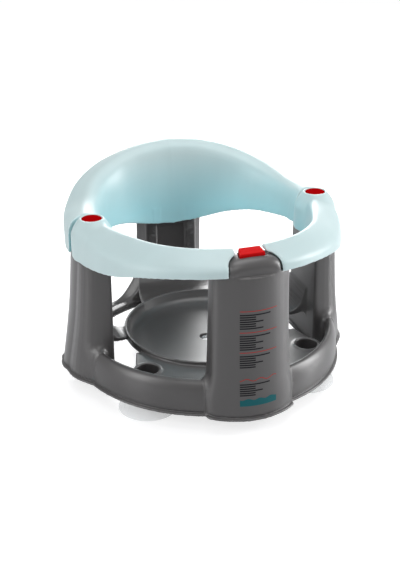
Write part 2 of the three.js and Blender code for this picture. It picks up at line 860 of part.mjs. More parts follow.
// Holes for pins, screws, the cups' necks, the latch and its cover
function cutFixings(base) {
  const cuts = [];
  const hole = screwRadius + screwClearance;
  for (const side of [-1, 1]) {
    cuts.push(cylinder(pinRadius + pinClearance, 0, sideTop + overrun, side * pinPlace, 0));
    cuts.push(cylinder(hole, sideTop - overrun, sideTop + overrun, side * screwReach, screwPlace));
    cuts.push(cylinder(hole, rearTop - overrun, rearTop + overrun, side * rearScrewPlace, rearScrewReach));
  }
  const neck = cupNeckRadius + fitGap;
  cuts.push(cylinder(neck, -overrun, socketFloor + rearStemLength + wall, 0, rearCupY));
  for (const [x, y] of frontCups()) {
    cuts.push(cylinder(socketRadius, socketFloor + socketFloorThickness, plateHeight + overrun, x, y));
    cuts.push(cylinder(neck, -overrun, plateHeight, x, y));
  }
  cuts.push(cylinder(neck, -overrun, bowlFloorHeight + overrun, 0, 0));
  cuts.push(box([-rearPanelHalfWidth, rearPanelHalfWidth],
    [rearInner - overrun, rearInner + rearPanelDepth], [rearPanelFoot, rearPanelTop]));
  cuts.push(prism(buttonPlan(fitGap), frontTop, ringTop));
  const windowY = [-yokePlace - yokeHalfDepth - fitGap * 2, -yokePlace + yokeHalfDepth + fitGap * 2];
  const toothTop = yokeHeight + toothHeight + yokeThickness;
  cuts.push(box([-headHalfWidth - fitGap, headHalfWidth + fitGap], windowY,
    [toothTop - toothWidth * 2 - latchTravel, toothTop + fitGap * 2]));
  const cover = coverOutline(fitGap);
  const coverSeat = -frontInner - coverThickness - fitGap;
  cuts.push(box([-cover.x, cover.x], [coverSeat, overrun - frontInner], cover.z));
  cuts.push(box([coverLip - coverHalfWidth, coverHalfWidth - coverLip],
    [-frontInner - headBackWall - wall, -frontInner], [coverBottom + coverLip, coverTop - coverLip]));
  for (const height of coverScrewHeights()) {
    cuts.push(frontCylinder(coverScrewRadius + fitGap, -frontInner - headBackWall, -frontInner, height));
  }
  return base.subtract(joined(cuts));
}

function coverOutline(grow) {
  return { x: coverHalfWidth + grow, z: [coverBottom - grow, coverTop + grow] };
}

function coverScrewHeights() {
  return [coverBottom + coverLip / 2, coverTop - coverLip / 2];
}

function frontCylinder(radius, near, far, height) {
  const geometry = new THREE.CylinderGeometry(radius, radius, far - near, smallCircleSteps / 2);
  geometry.translate(0, (near + far) / 2, height);
  return solidOf(geometry);
}

// Gates and backrest

// A gate: the ring from the head to its hinge, joined to the barrel round the pin, and
// hollow from below behind walls of its own thickness
function gateSolid(side) {
  const angles = [side * gateStartDegrees, side * hingeDegrees];
  const hollowTop = capTop - fitGap - capRadius;
  const barrelHollow = cylinder(barrelRadius - ringWall, 0, hollowTop, side * pinPlace, 0);
  const outside = ringSweep(gateCorners, ...angles)
    .add(barrelSolid(side))
    .subtract(headSolid(barrelGap))
    .subtract(latchSide(side, gateEnd));
  const endWall = box([-ringRadius, ringRadius], [-ringWall, overrun], [0, backTop]);
  const walls = joined([
    headSolid(barrelGap + ringWall),
    latchSide(side, gateEnd + ringWall),
    endWall.subtract(barrelHollow),
    hub(side),
  ]);
  const inside = ringSweep(gateCorners, ...angles, ringWall)
    .subtract(walls)
    .add(barrelHollow.subtract(hub(side)));
  return outside.subtract(inside).subtract(hingeBores(side));
}

function barrelSolid(side) {
  const bottom = ringTop - gateDepth;
  const top = capTop - fitGap;
  return turned([
    [0, bottom],
    ...barrelShares.map(([out, up]) => [barrelRadius * out, bottom + (top - bottom) * up]),
    [0, top],
  ], side * pinPlace, 0, circleSteps / 2);
}

// All that lies on the latch's side of a gate's end, and beyond the middle
function latchSide(side, end) {
  const across = side > 0 ? [-ringRadius, end] : [-end, ringRadius];
  return box(across, [-ringRadius - overrun, 0], [0, backTop]);
}

// The underside of the cap, where the pin's head starts to need room
const capSeatHeight = capTop - capThickness - pinHeadThickness;

// The tube in the barrel that turns on the pin, with the seat of the cap on it
function hub(side) {
  const bottom = ringTop - gateDepth;
  return joined([
    cylinder(hubRadius + wall, bottom, bottom + washerThickness + wall, side * pinPlace, 0),
    cylinder(hubRadius, bottom, capTop, side * pinPlace, 0),
    cylinder(capRadius + wall, capSeatHeight - wall * 2, capTop, side * pinPlace, 0),
  ]);
}

function hingeBores(side) {
  const bottom = ringTop - gateDepth;
  const seatHeight = capSeatHeight - fitGap * 2;
  return joined([
    cylinder(pinRadius + pinClearance, 0, capTop + overrun, side * pinPlace, 0),
    cylinder(capRadius + fitGap, seatHeight, capTop + overrun, side * pinPlace, 0),
    cylinder(washerRadius + fitGap, 0, bottom + washerThickness, side * pinPlace, 0),
  ]);
}

// The backrest: the rear half of the ring, hollow from below, with ribs that take the
// screws and with room for the two barrels
function backrestSolid() {
  const angles = [hingeDegrees, rearDegrees * 2 - hingeDegrees];
  const outside = ringSweep(backCorners, ...angles);
  const hollow = ringSweep(backCorners, ...angles, ringWall);
  const hole = screwRadius + screwClearance;
  const spaces = [];
  const walls = [];
  const ribs = [];
  const holes = [];
  for (const side of [-1, 1]) {
    spaces.push(hingeSpace(side, barrelGap));
    walls.push(hingeSpace(side, barrelGap + ringWall));
    ribs.push(
      box(
        side > 0 ? [pinPlace - barrelRadius, ringRadius] : [-ringRadius, barrelRadius - pinPlace],
        [screwPlace - ribHalfWidth, screwPlace + ribHalfWidth],
        [0, sideTop + ribHeight],
      ),
      box(
        [side * rearScrewPlace - ribHalfWidth, side * rearScrewPlace + ribHalfWidth],
        [0, ringRadius * 2],
        [0, rearTop + ribHeight],
      ),
    );
    holes.push(
      cylinder(hole, 0, sideTop + screwLength + wall, side * screwReach, screwPlace),
      cylinder(hole, 0, rearTop + screwLength + wall, side * rearScrewPlace, rearScrewReach),
    );
  }
  const inside = hollow.subtract(joined([...walls, ...ribs]));
  return outside.subtract(inside).subtract(joined([...spaces, ...holes]));
}

// Small pieces

function hingePin() {
  const headTop = capTop - capThickness - fitGap;
  const headBottom = headTop - pinHeadThickness;
  const low = sideTop - bossLength - nutThickness - wall;
  return turned([
    [0, low],
    [pinRadius, low],
    [pinRadius, headBottom],
    [pinHeadRadius, headBottom],
    [pinHeadRadius, headTop - fitGap],
    [0, headTop],
  ]);
}

function hingeNut() {
  const top = sideTop - bossLength - fitGap;
  return cylinder(nutRadius, top - nutThickness, top).subtract(
    cylinder(pinRadius + pinClearance, 0, capTop),
  );
}

function hingeWasher() {
  const low = sideTop + fitGap;
  return cylinder(washerRadius, low, low + washerThickness).subtract(
    cylinder(pinRadius + pinClearance, 0, capTop),
  );
}

function hingeCap() {
  const low = capTop - capThickness;
  return turned([
    [0, low],
    [capRadius - wall / 2, low],
    [capRadius, low + wall / 2],
    [capRadius, capTop - wall / 2],
    [capRadius - wall / 2, capTop - fitGap],
    [0, capTop],
  ]);
}

// The button's outline from above: wider at the front, where it meets the head's curve
function buttonPlan(grow) {
  const near = buttonHalfWidth + grow;
  const far = near + buttonFlare;
  return [
    [near, grow - buttonBack],
    [-near, grow - buttonBack],
    [-far, -buttonFront - grow],
    [far, -buttonFront - grow],
  ];
}

function latchButton() {
  const low = yokeHeight + yokeThickness + fitGap;
  const skirt = frontTop + wall + latchTravel;
  const side = [
    [-buttonBack, skirt],
    [-buttonBack, buttonNose],
    [-buttonCrest, buttonTop],
    [-buttonFront, buttonNose],
    [-buttonFront, skirt],
  ];
  const cap = prism(buttonPlan(0), 0, backTop).intersect(sidePrism(side, ringRadius));
  const stem = box([-stemHalfWidth, stemHalfWidth],
    [-yokePlace - yokeHalfDepth / 2, -yokePlace + yokeHalfDepth], [low, skirt + wall]);
  return cap.add(stem);
}

function latchYoke() {
  const top = yokeHeight + yokeThickness;
  const reach = headHalfWidth - wall - fitGap * 2;
  const depth = [-yokePlace - yokeHalfDepth, -yokePlace + yokeHalfDepth];
  const bar = box([-reach, reach], depth, [yokeHeight, top]);
  const posts = [-1, 1].map((side) => {
    const inner = reach - toothWidth;
    const across = side > 0 ? [inner, reach] : [-reach, -inner];
    return box(across, depth, [yokeHeight, top + toothHeight]);
  });
  const teeth = [-1, 1].map((side) => {
    const outer = headHalfWidth - fitGap * 2;
    const across = side > 0 ? [reach - toothWidth, outer] : [-outer, toothWidth - reach];
    return box(across, depth, [top + toothHeight - toothWidth, top + toothHeight]);
  });
  const spigot = cylinder(spigotRadius, yokeHeight - spigotLength, yokeHeight + wall, 0, -yokePlace);
  return joined([bar, ...posts, ...teeth, spigot]);
}

// One unbroken wire, flattened at neither end
function latchSpring() {
  const low = shelfHeight + fitGap + springWire;
  const high = yokeHeight - fitGap - springWire;
  const steps = springTurns * springTurnSteps;
  const rows = [];
  let outline;
  for (let i = 0; i <= steps; i += 1) {
    const angle = (2 * Math.PI * i) / springTurnSteps;
    const height = low + ((high - low) * i) / steps;
    outline = [];
    const row = [];
    for (let k = 0; k < springWireSteps; k += 1) {
      const around = (2 * Math.PI * k) / springWireSteps;
      const radius = springRadius + springWire * Math.cos(around);
      outline.push(new THREE.Vector2(Math.cos(around), Math.sin(around)));
      row.push(new THREE.Vector3(
        radius * Math.cos(angle),
        radius * Math.sin(angle) - yokePlace,
        height + springWire * Math.sin(around),
      ));
    }
    rows.push(row);
  }
  return skin(rows, outline);
}

function columnCover() {
  const { x, z } = coverOutline(0);
  const plate = box([-x, x], [-frontInner - coverThickness, -frontInner], z);
  const shelf = box([-shelfHalfWidth, shelfHalfWidth],
    [-yokePlace - springRadius - wall / 2, -frontInner - coverThickness + fitGap],
    [shelfHeight - shelfThickness, shelfHeight]);
  const [low, high] = [shelfHeight - shelfThickness, shelfHeight + spigotLength];
  const spigot = cylinder(spigotRadius, low, high, 0, -yokePlace);
  const [near, far] = [-frontInner - coverThickness - wall, wall - frontInner];
  const headSeat = -frontInner - coverThickness / 2;
  const holes = coverScrewHeights().map((height) => joined([
    frontCylinder(coverScrewRadius + fitGap, near, far, height),
    frontCylinder(coverScrewHead + fitGap, headSeat, far, height),
  ]));
  return joined([plate, shelf, spigot]).subtract(joined(holes));
}

function coverScrew(height) {
  const headFace = -frontInner - fitGap;
  const under = -frontInner - coverThickness / 2 + fitGap;
  return frontCylinder(coverScrewRadius, under - coverScrewLength + wall / 2, headFace, height).add(
    frontCylinder(coverScrewHead, under, headFace, height),
  );
}

// A screw that stands upright, its head against a column's ceiling from below
function columnScrew(top) {
  const under = top - wall - fitGap;
  return turned([
    [0, under - screwHeadHeight],
    [screwHeadRadius, under - screwHeadHeight],
    [screwHeadRadius, under],
    [screwRadius, under],
    [screwRadius, top + screwLength - screwRadius],
    [0, top + screwLength],
  ]);
}

// A suction cup whose neck goes up to a floor and through it to a knob. With no knob
// the neck is a plain stem that ends at that height.
function suctionCup(neckTop, hasKnob) {
  const neckLow = -cupLift / 3;
  const top = neckTop + fitGap;
  const knob = [
    [cupNeckRadius, top],
    [cupKnobRadius, top],
    [cupKnobRadius, top + cupKnobHeight / 2],
    [cupKnobRadius * knobShare, top + cupKnobHeight],
    [0, top + cupKnobHeight],
  ];
  const outside = [
    ...cupShares.map(([out, up]) => [cupRadius * out, -cupLift * (1 - up)]),
    [cupNeckRadius, neckLow + cupSkin],
    ...(hasKnob ? knob : [[cupNeckRadius, top], [0, top]]),
  ];
  const inside = cupShares.slice(2).reverse().map(([out, up]) => [
    cupRadius * out - cupLip,
    -cupLift * (1 - up) - cupSkin,
  ]);
  const first = outside[0];
  const profile = [...outside, [0, neckLow - cupSkin], ...inside, [first[0] - cupLip, first[1]], first];
  return turned(profile, 0, 0, cupSteps);
}

// Assembly

function place(mesh, x, y, z = 0) {
  mesh.position.set(x, y, z);
  return mesh;
}

addPiece('base', baseSolid(), 'grey');
addPiece('backrest', backrestSolid(), 'aqua');
const sides = [['left', -1], ['right', 1]];
for (const [name, side] of sides) {
  addPiece(`gate_${name}`, gateSolid(side), 'aqua');
  place(addPiece(`hinge_pin_${name}`, hingePin(), 'steel'), side * pinPlace, 0);
  place(addPiece(`hinge_nut_${name}`, hingeNut(), 'steel'), side * pinPlace, 0);
  place(addPiece(`hinge_washer_${name}`, hingeWasher(), 'white'), side * pinPlace, 0);
  place(addPiece(`hinge_cap_${name}`, hingeCap(), 'red'), side * pinPlace, 0);
  place(addPiece(`backrest_screw_${name}`, columnScrew(sideTop), 'steel'), side * screwReach, screwPlace);
  const rearScrew = addPiece(`backrest_screw_rear_${name}`, columnScrew(rearTop), 'steel');
  place(rearScrew, side * rearScrewPlace, rearScrewReach);
}
addPiece('latch_button', latchButton(), 'red');
addPiece('latch_yoke', latchYoke(), 'white');
addPiece('latch_spring', latchSpring(), 'steel');
addPiece('column_cover', columnCover(), 'grey');
coverScrewHeights().forEach((height, i) => {
  addPiece(['cover_screw_lower', 'cover_screw_upper'][i], coverScrew(height), 'steel');
});
const socketTop = socketFloor + socketFloorThickness;
sides.forEach(([name], i) => {
  place(addPiece(`suction_cup_front_${name}`, suctionCup(socketTop, true), 'clear'), ...frontCups()[i]);
});
const rearStemTop = socketFloor + rearStemLength;
place(addPiece('suction_cup_rear', suctionCup(rearStemTop, false), 'clear'), 0, rearCupY);
addPiece('suction_cup_centre', suctionCup(bowlFloorHeight, true), 'clear');

seat.position.z = cupLift;

export default seat;
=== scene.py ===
"""Baby bath seat: the visual model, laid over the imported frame.

The moulded pieces are kept as signed distances on an even grid, in millimetres, joined
with soft fillets as a mould has them and then skinned. The small pieces are turned or
swept meshes. Every height counts from the floor, so the base starts at the cups' lift.
"""

import logging
import math
from collections.abc import Callable, Iterator, Sequence
from dataclasses import dataclass
from enum import Enum

import bmesh
import bpy
import numpy as np
import openvdb
from mathutils import Matrix, Vector


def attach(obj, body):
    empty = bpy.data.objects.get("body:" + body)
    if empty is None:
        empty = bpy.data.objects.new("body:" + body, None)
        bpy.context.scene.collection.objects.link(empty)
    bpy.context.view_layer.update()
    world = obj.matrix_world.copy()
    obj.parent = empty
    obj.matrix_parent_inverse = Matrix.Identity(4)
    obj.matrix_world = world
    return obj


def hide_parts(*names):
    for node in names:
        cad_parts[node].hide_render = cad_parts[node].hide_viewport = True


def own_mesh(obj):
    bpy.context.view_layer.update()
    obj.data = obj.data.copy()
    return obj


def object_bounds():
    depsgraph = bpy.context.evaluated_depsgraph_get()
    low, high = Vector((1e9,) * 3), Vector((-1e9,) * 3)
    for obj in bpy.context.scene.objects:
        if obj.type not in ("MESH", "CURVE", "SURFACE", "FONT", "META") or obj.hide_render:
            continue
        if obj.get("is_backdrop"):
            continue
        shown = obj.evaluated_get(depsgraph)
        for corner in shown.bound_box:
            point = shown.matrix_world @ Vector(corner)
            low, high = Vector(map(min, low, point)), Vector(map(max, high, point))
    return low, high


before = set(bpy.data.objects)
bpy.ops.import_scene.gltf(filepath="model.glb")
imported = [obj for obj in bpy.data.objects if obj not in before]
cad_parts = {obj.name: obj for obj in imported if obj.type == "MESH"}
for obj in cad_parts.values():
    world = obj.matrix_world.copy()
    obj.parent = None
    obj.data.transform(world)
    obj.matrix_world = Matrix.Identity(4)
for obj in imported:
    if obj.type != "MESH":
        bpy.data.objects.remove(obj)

LOG = logging.getLogger("bath_seat")
MM = 0.001
# The distance that stands for empty space, how far a shape that is cut off later runs on,
# and a place further out than anything
FAR = 30.0
RUN_ON = 60.0
BEYOND = 400.0
# A length that counts as nothing, and a radius that counts as the axis
TINY = 1e-9
ON_AXIS = 1e-6

Point = tuple[float, float]
Outline = Sequence[Point]
Corner = Sequence[float]
Rgb = tuple[float, float, float]
Box = tuple[tuple, tuple]
Array = np.ndarray
Piece = bpy.types.Object
Node = bpy.types.Node
Socket = bpy.types.NodeSocket
Tree = bpy.types.NodeTree


@dataclass(frozen=True)
class Places:
    """Places and clearances in millimetres that several pieces share."""

    foot: float = 18.0
    wall: float = 3.0
    fit: float = 0.3
    slide: float = 0.1
    hinge: float = 143.6
    reach: float = 183.5
    side_inner: float = 131.0
    side_top: float = 169.7
    rear_inner: float = 150.0
    rear_top: float = 139.6
    pin_radius: float = 4.0
    washer_radius: float = 10.5
    screw_radius: float = 2.0
    screw: Point = (153.0, 29.0)
    rear_screw: Point = (24.0, 162.0)
    cover_screw_radius: float = 1.5
    cover_screws: Point = (147.0, 205.0)
    neck_radius: float = 5.0
    front_cup: Point = (102.5, -85.0)
    rear_cup: Point = (0.0, 138.0)


PLACES = Places()


class Body(Enum):
    """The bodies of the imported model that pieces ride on."""

    SEAT = "seat"
    LEFT_GATE = "left_gate"
    RIGHT_GATE = "right_gate"
    LATCH = "latch"


class Side(Enum):
    """The two hands of the seat, with the sign of their X."""

    LEFT = -1
    RIGHT = 1

    @property
    def word(self) -> str:
        """The word used in node names."""
        return self.name.lower()

    @property
    def gate(self) -> Body:
        """The body of the gate on this side."""
        return Body.LEFT_GATE if self is Side.LEFT else Body.RIGHT_GATE

    def at(self, x: float, y: float = 0.0) -> Point:
        """A place on this side, given as it is on the right."""
        return self.value * x, y


# Curves and distances


def bend(start: Corner, corner: Corner, end: Corner, steps: int = 8) -> list:
    """Points of a quadratic curve after its start.

    Args:
        start: Where the curve starts.
        corner: The point that both ends aim at.
        end: Where the curve ends.
        steps: How many points come after the start.

    Returns:
        A list of (a, b) pairs.
    """
    points = []
    for i in range(1, steps + 1):
        t = i / steps
        points.append(tuple(
            (1 - t) ** 2 * a + 2 * t * (1 - t) * b + t * t * c for a, b, c in zip(start, corner, end)
        ))
    return points


def softened(corners: Sequence[Corner], share: float, steps: int = 7) -> list:
    """A line of points whose inner corners are rounded.

    Args:
        corners: The line's corners, whose two ends stay.
        share: How much of each neighbouring edge a rounding takes.
        steps: Points in each rounding.

    Returns:
        The rounded line.
    """
    line = [tuple(corners[0])]
    for before, corner, after in zip(corners, corners[1:], corners[2:]):
        start = tuple(c + (b - c) * share for b, c in zip(before, corner))
        end = tuple(c + (a - c) * share for a, c in zip(after, corner))
        line += [start, *bend(start, corner, end, steps)]
    line.append(tuple(corners[-1]))
    return line


def smooth_at(knots: Sequence[float], values: Sequence[float], place: float) -> float:
    """A smooth value between table entries.

    Args:
        knots: Rising places of the entries.
        values: The entries.
        place: Where the value is wanted, kept within the table.

    Returns:
        The value of a cubic through the entries.
    """
    place = min(max(place, knots[0]), knots[-1])
    i = min(max(int(np.searchsorted(knots, place, side="right")) - 1, 0), len(knots) - 2)
    width = knots[i + 1] - knots[i]
    t = (place - knots[i]) / width

    def slope(k: int) -> float:
        """The curve's rise over this stretch at an entry."""
        low, high = max(k - 1, 0), min(k + 1, len(knots) - 1)
        return (values[high] - values[low]) / (knots[high] - knots[low]) * width

    rise = values[i + 1] - values[i]
    first, second = slope(i), slope(i + 1)
    cubic = (first + second - 2 * rise) * t**3 + (3 * rise - 2 * first - second) * t**2
    return values[i] + first * t + cubic


def oblong(low: Point, high: Point) -> Outline:
    """The outline of a rectangle between two corners."""
    return [low, (high[0], low[1]), high, (low[0], high[1])]


def circle(radius: float, at: Point = (0.0, 0.0), steps: int = 24) -> Outline:
    """The outline of a circle."""
    angles = np.linspace(0, 2 * math.pi, steps + 1)[:-1]
    return [(at[0] + radius * math.cos(a), at[1] + radius * math.sin(a)) for a in angles]


def scaled(table: Sequence[tuple], wide: float, tall: float, base: float = 0.0) -> list:
    """Points from rows of a share of the width, a length, a share of the height and a length."""
    return [(wide * a + b, base + tall * c + d) for a, b, c, d in table]


def outline_distance(a: Array, b: Array, outline: Outline) -> Array:
    """Signed distance of flat points from a closed outline.

    Args:
        a: The points' first places.
        b: The points' second places, of a shape that spreads with the first.
        outline: The outline's corners in order.

    Returns:
        The distances, negative inside.
    """
    corners = np.asarray(outline, dtype=np.float32)
    nearest = np.full(np.broadcast(a, b).shape, np.inf, dtype=np.float32)
    inside = np.zeros(nearest.shape, dtype=bool)
    for (ax, ay), (bx, by) in zip(corners, np.roll(corners, -1, axis=0)):
        ex, ey = bx - ax, by - ay
        length = ex * ex + ey * ey
        if length < TINY:
            continue
        wx, wy = a - ax, b - ay
        t = np.clip((wx * ex + wy * ey) / length, 0, 1)
        nearest = np.minimum(nearest, (wx - ex * t) ** 2 + (wy - ey * t) ** 2)
        if abs(ey) > TINY:
            inside ^= ((ay > b) != (by > b)) & (a < ax + wy * (ex / ey))
    return np.where(inside, -1, 1).astype(np.float32) * np.sqrt(nearest)


def soft_least(a: Array, b: Array, reach: float) -> Array:
    """The lesser of two distances.

    Args:
        a: One solid's distances.
        b: The other's.
        reach: How far the fillet between them reaches.

    Returns:
        The distances of both solids as one.
    """
    if reach <= 0:
        return np.minimum(a, b)
    h = np.maximum(reach - np.abs(a - b), 0) / reach
    return np.minimum(a, b) - h * h * (reach / 4)


def soft_most(a: Array, b: Array, reach: float) -> Array:
    """The greater of two distances, with its edge rounded over that reach."""
    return -soft_least(-a, -b, reach)


# Shapes, each with a box and a signed distance over the grid that rows of x, y and z span


class Shape:
    """Something with a box and a distance."""

    def box(self) -> Box:
        """Lowest and highest corner in millimetres."""
        raise NotImplementedError

    def distance(self, axes: Sequence[Array]) -> Array:
        """Distances on the grid that the three rows of places span."""
        raise NotImplementedError


@dataclass
class Turned(Shape):
    """An outline of (radius, height) points turned about an upright axis.

    A half of 1 keeps what lies in front of the middle, and -1 what lies behind it.
    """

    outline: Outline
    at: Point = (0.0, 0.0)
    half: int = 0
    table_step: float = 0.5

    def box(self) -> Box:
        """Works the box out from the outline.

        Returns:
            Its lowest and its highest corner.
        """
        reach = max(r for r, _ in self.outline)
        heights = [h for _, h in self.outline]
        x, y = self.at
        return (x - reach, y - reach, min(heights)), (x + reach, y + reach, max(heights))

    def distance(self, axes: Sequence[Array]) -> Array:
        """Reads the distances from a table over radius and height.

        Args:
            axes: The grid's places along x, y and z.

        Returns:
            The distances, negative inside.
        """
        x, y, z = axes
        outward = np.hypot(x[:, None] - self.at[0], y[None, :] - self.at[1])
        radii = np.arange(0, outward.max() + 1, self.table_step, dtype=np.float32)
        mirrored = [*self.outline, *[(-r, h) for r, h in reversed(self.outline)]]
        section = mirrored if self._is_full() else self.outline
        table = outline_distance(radii[:, None], z[None, :], section)
        flat = outward.ravel()
        values = np.stack([np.interp(flat, radii, table[:, k]) for k in range(len(z))], axis=-1)
        values = values.reshape(len(x), len(y), len(z)).astype(np.float32)
        if self.half:
            values = np.maximum(values, (self.half * y)[None, :, None])
        return values

    def _is_full(self) -> bool:
        """Whether the outline starts and ends on the axis."""
        return abs(self.outline[0][0]) < ON_AXIS and abs(self.outline[-1][0]) < ON_AXIS


@dataclass
class Crossed(Shape):
    """The space shared by a plan (x, y), a front view (x, z) and a side view (y, z)."""

    plan: Outline | None = None
    front: Outline | None = None
    side: Outline | None = None
    degrees: float = 0.0
    rounding: float = 0.0

    def box(self) -> Box:
        """Works the box out from the views.

        Returns:
            Its lowest and its highest corner.
        """
        views = ((self.plan, (0, 1)), (self.front, (0, 2)), (self.side, (1, 2)))
        low, high = [-BEYOND] * 3, [BEYOND] * 3
        for outline, axes in views:
            for k, axis in enumerate(axes if outline else ()):
                low[axis] = max(low[axis], min(p[k] for p in outline))
                high[axis] = min(high[axis], max(p[k] for p in outline))
        if self.degrees:
            reach = max(map(abs, (low[0], high[0], low[1], high[1]))) * math.sqrt(2)
            low[:2], high[:2] = (-reach, -reach), (reach, reach)
        return tuple(low), tuple(high)

    def distance(self, axes: Sequence[Array]) -> Array:
        """Takes the greatest of the views' distances, with softened edges.

        Args:
            axes: The grid's places along x, y and z.

        Returns:
            The distances, negative inside.
        """
        x, y, z = axes
        a, b = np.broadcast_arrays(x[:, None], y[None, :])
        if self.degrees:
            turn = math.radians(-self.degrees)
            a, b = a * math.cos(turn) - b * math.sin(turn), a * math.sin(turn) + b * math.cos(turn)
        values = None
        if self.plan:
            values = np.repeat(outline_distance(a, b, self.plan)[:, :, None], len(z), axis=2)
        for outline, across in ((self.front, a), (self.side, b)):
            if outline is None:
                continue
            one = outline_distance(across[:, :, None], z[None, None, :], outline)
            values = one if values is None else soft_most(values, one, self.rounding)
        return values


def block(low: Corner, high: Corner, rounding: float = 0.0) -> Crossed:
    """A block between two corners.

    Args:
        low: Its lowest corner.
        high: Its highest corner.
        rounding: How far its upper and lower edges are rounded.

    Returns:
        The block.
    """
    plan = oblong((low[0], low[1]), (high[0], high[1]))
    front = oblong((low[0] - FAR, low[2]), (high[0] + FAR, high[2]))
    return Crossed(plan=plan, front=front, rounding=rounding)


def rod(radius: float, low: float, high: float, at: Point = (0.0, 0.0)) -> Turned:
    """An upright cylinder."""
    return Turned([(0, low), (radius, low), (radius, high), (0, high)], at)


def level_bore(radius: float, height: float, near: float, far: float, steps: int = 24) -> Crossed:
    """A round hole that runs level along y, in the middle of the seat.

    Args:
        radius: The hole's radius.
        height: The height of its middle.
        near: The y that it starts at.
        far: The y that it ends at.
        steps: Corners round it.

    Returns:
        The hole.
    """
    margin = 2 * radius
    return Crossed(
        front=circle(radius, (0.0, height), steps),
        side=oblong((near, height - margin), (far, height + margin)),
    )


@dataclass
class Column(Shape):
    """A leaning column with a rounded plan, standing round the seat at an angle.

    Shares of its height are the knots. Its lean, and its flare at the foot, have one entry
    for each knot. A bow of None follows the circle of its reach.
    """

    degrees: float
    foot: float
    top: float
    half_width: float
    inner: float
    reach: float
    lean: float
    narrowing: float = 0.0
    taper: float = 0.0
    bow: float | None = None
    corner: float = 14.0
    cut_share: float = 0.0
    flare: float = 0.0
    flip: int = 1
    knots: tuple[float, ...] = (0, 0.08, 0.27, 0.53, 1)
    leans: tuple[float, ...] = (0, 0.12, 0.38, 0.68, 1)
    flares: tuple[float, ...] | None = None
    top_rounding: float = 2.0
    face_start: float = 0.12
    face_steps: int = 12

    def _bowed(self, half: float, shoulder: float, bow: float) -> list:
        """A bowed outer face that runs smoothly into the corners on its two sides.

        Args:
            half: Half the column's width.
            shoulder: How far out the face starts.
            bow: How much further out its middle is.

        Returns:
            The points from one side to the other.
        """
        reach = half - self.corner
        shares = np.linspace(self.face_start, 1 - self.face_start, self.face_steps + 1)
        face = [(reach * (1 - 2 * t), shoulder + 4 * t * (1 - t) * bow) for t in shares]
        across, along = face[0]
        slope = 2 * (1 - 2 * self.face_start)
        corner = along - (half - across) * slope * bow / reach
        side = shoulder - self.corner
        near = bend((half, side), (half, corner), face[0])
        return [*near, *face[1:], *bend(face[-1], (-half, corner), (-half, side))]

    def plan_at(self, height: float) -> Outline:
        """The plan of the column at a height.

        Args:
            height: The height in millimetres.

        Returns:
            The outline, with the column's outer face along +b.
        """
        share = min(max((height - self.foot) / (self.top - self.foot), 0), 1)
        leaning = share if self.flares else smooth_at(self.knots, self.leans, share)
        outer = self.reach - self.lean * leaning
        half = self.half_width - self.narrowing * leaning
        if self.flares:
            half += self.flare * smooth_at(self.knots, self.flares, share)
        bow = (half - self.corner) ** 2 / (2 * outer) if self.bow is None else self.bow
        shoulder = outer - bow
        inner_half = half - self.taper
        small = self.corner / 4
        cut = self.cut_share * (shoulder - self.inner - small) or self.corner
        line = [(small - inner_half, self.inner), (inner_half - small, self.inner)]
        line += bend(line[-1], (inner_half, self.inner), (inner_half, self.inner + small), steps=3)
        line.append((half, shoulder - self.corner))
        if self.cut_share:
            line += bend(line[-1], (half, shoulder), (half - self.corner, shoulder))
            line += bend(line[-1], ((cut - self.corner) / 2, outer + bow), (cut - half, shoulder), steps=10)
            line += bend(line[-1], (-half, shoulder), (-half, shoulder - cut))
        else:
            line += self._bowed(half, shoulder, bow)
        line.append((-inner_half, self.inner + small))
        line += bend(line[-1], (-inner_half, self.inner), line[0], steps=3)[:-1]
        return line

    def box(self) -> Box:
        """Works the box out from the foot, which is the widest.

        Returns:
            Its lowest and its highest corner.
        """
        wide = self.half_width + self.flare
        corners = [(a, b) for a in (-wide, wide) for b in (self.inner, self.reach)]
        turn = math.radians(self.degrees)
        xs = [self.flip * a * math.cos(turn) + b * math.sin(turn) for a, b in corners]
        ys = [self.flip * a * math.sin(turn) - b * math.cos(turn) for a, b in corners]
        return (min(xs), min(ys), self.foot - RUN_ON), (max(xs), max(ys), self.top)

    def distance(self, axes: Sequence[Array]) -> Array:
        """Works the distances out height by height, with a rounded upper edge.

        Args:
            axes: The grid's places along x, y and z.

        Returns:
            The distances, negative inside.
        """
        x, y, z = axes
        turn = math.radians(self.degrees)
        a = self.flip * (x[:, None] * math.cos(turn) + y[None, :] * math.sin(turn))
        b = x[:, None] * math.sin(turn) - y[None, :] * math.cos(turn)
        slices = [outline_distance(a, b, self.plan_at(float(height))) for height in z]
        return soft_most(np.stack(slices, axis=-1), (z - self.top)[None, None, :], self.top_rounding)


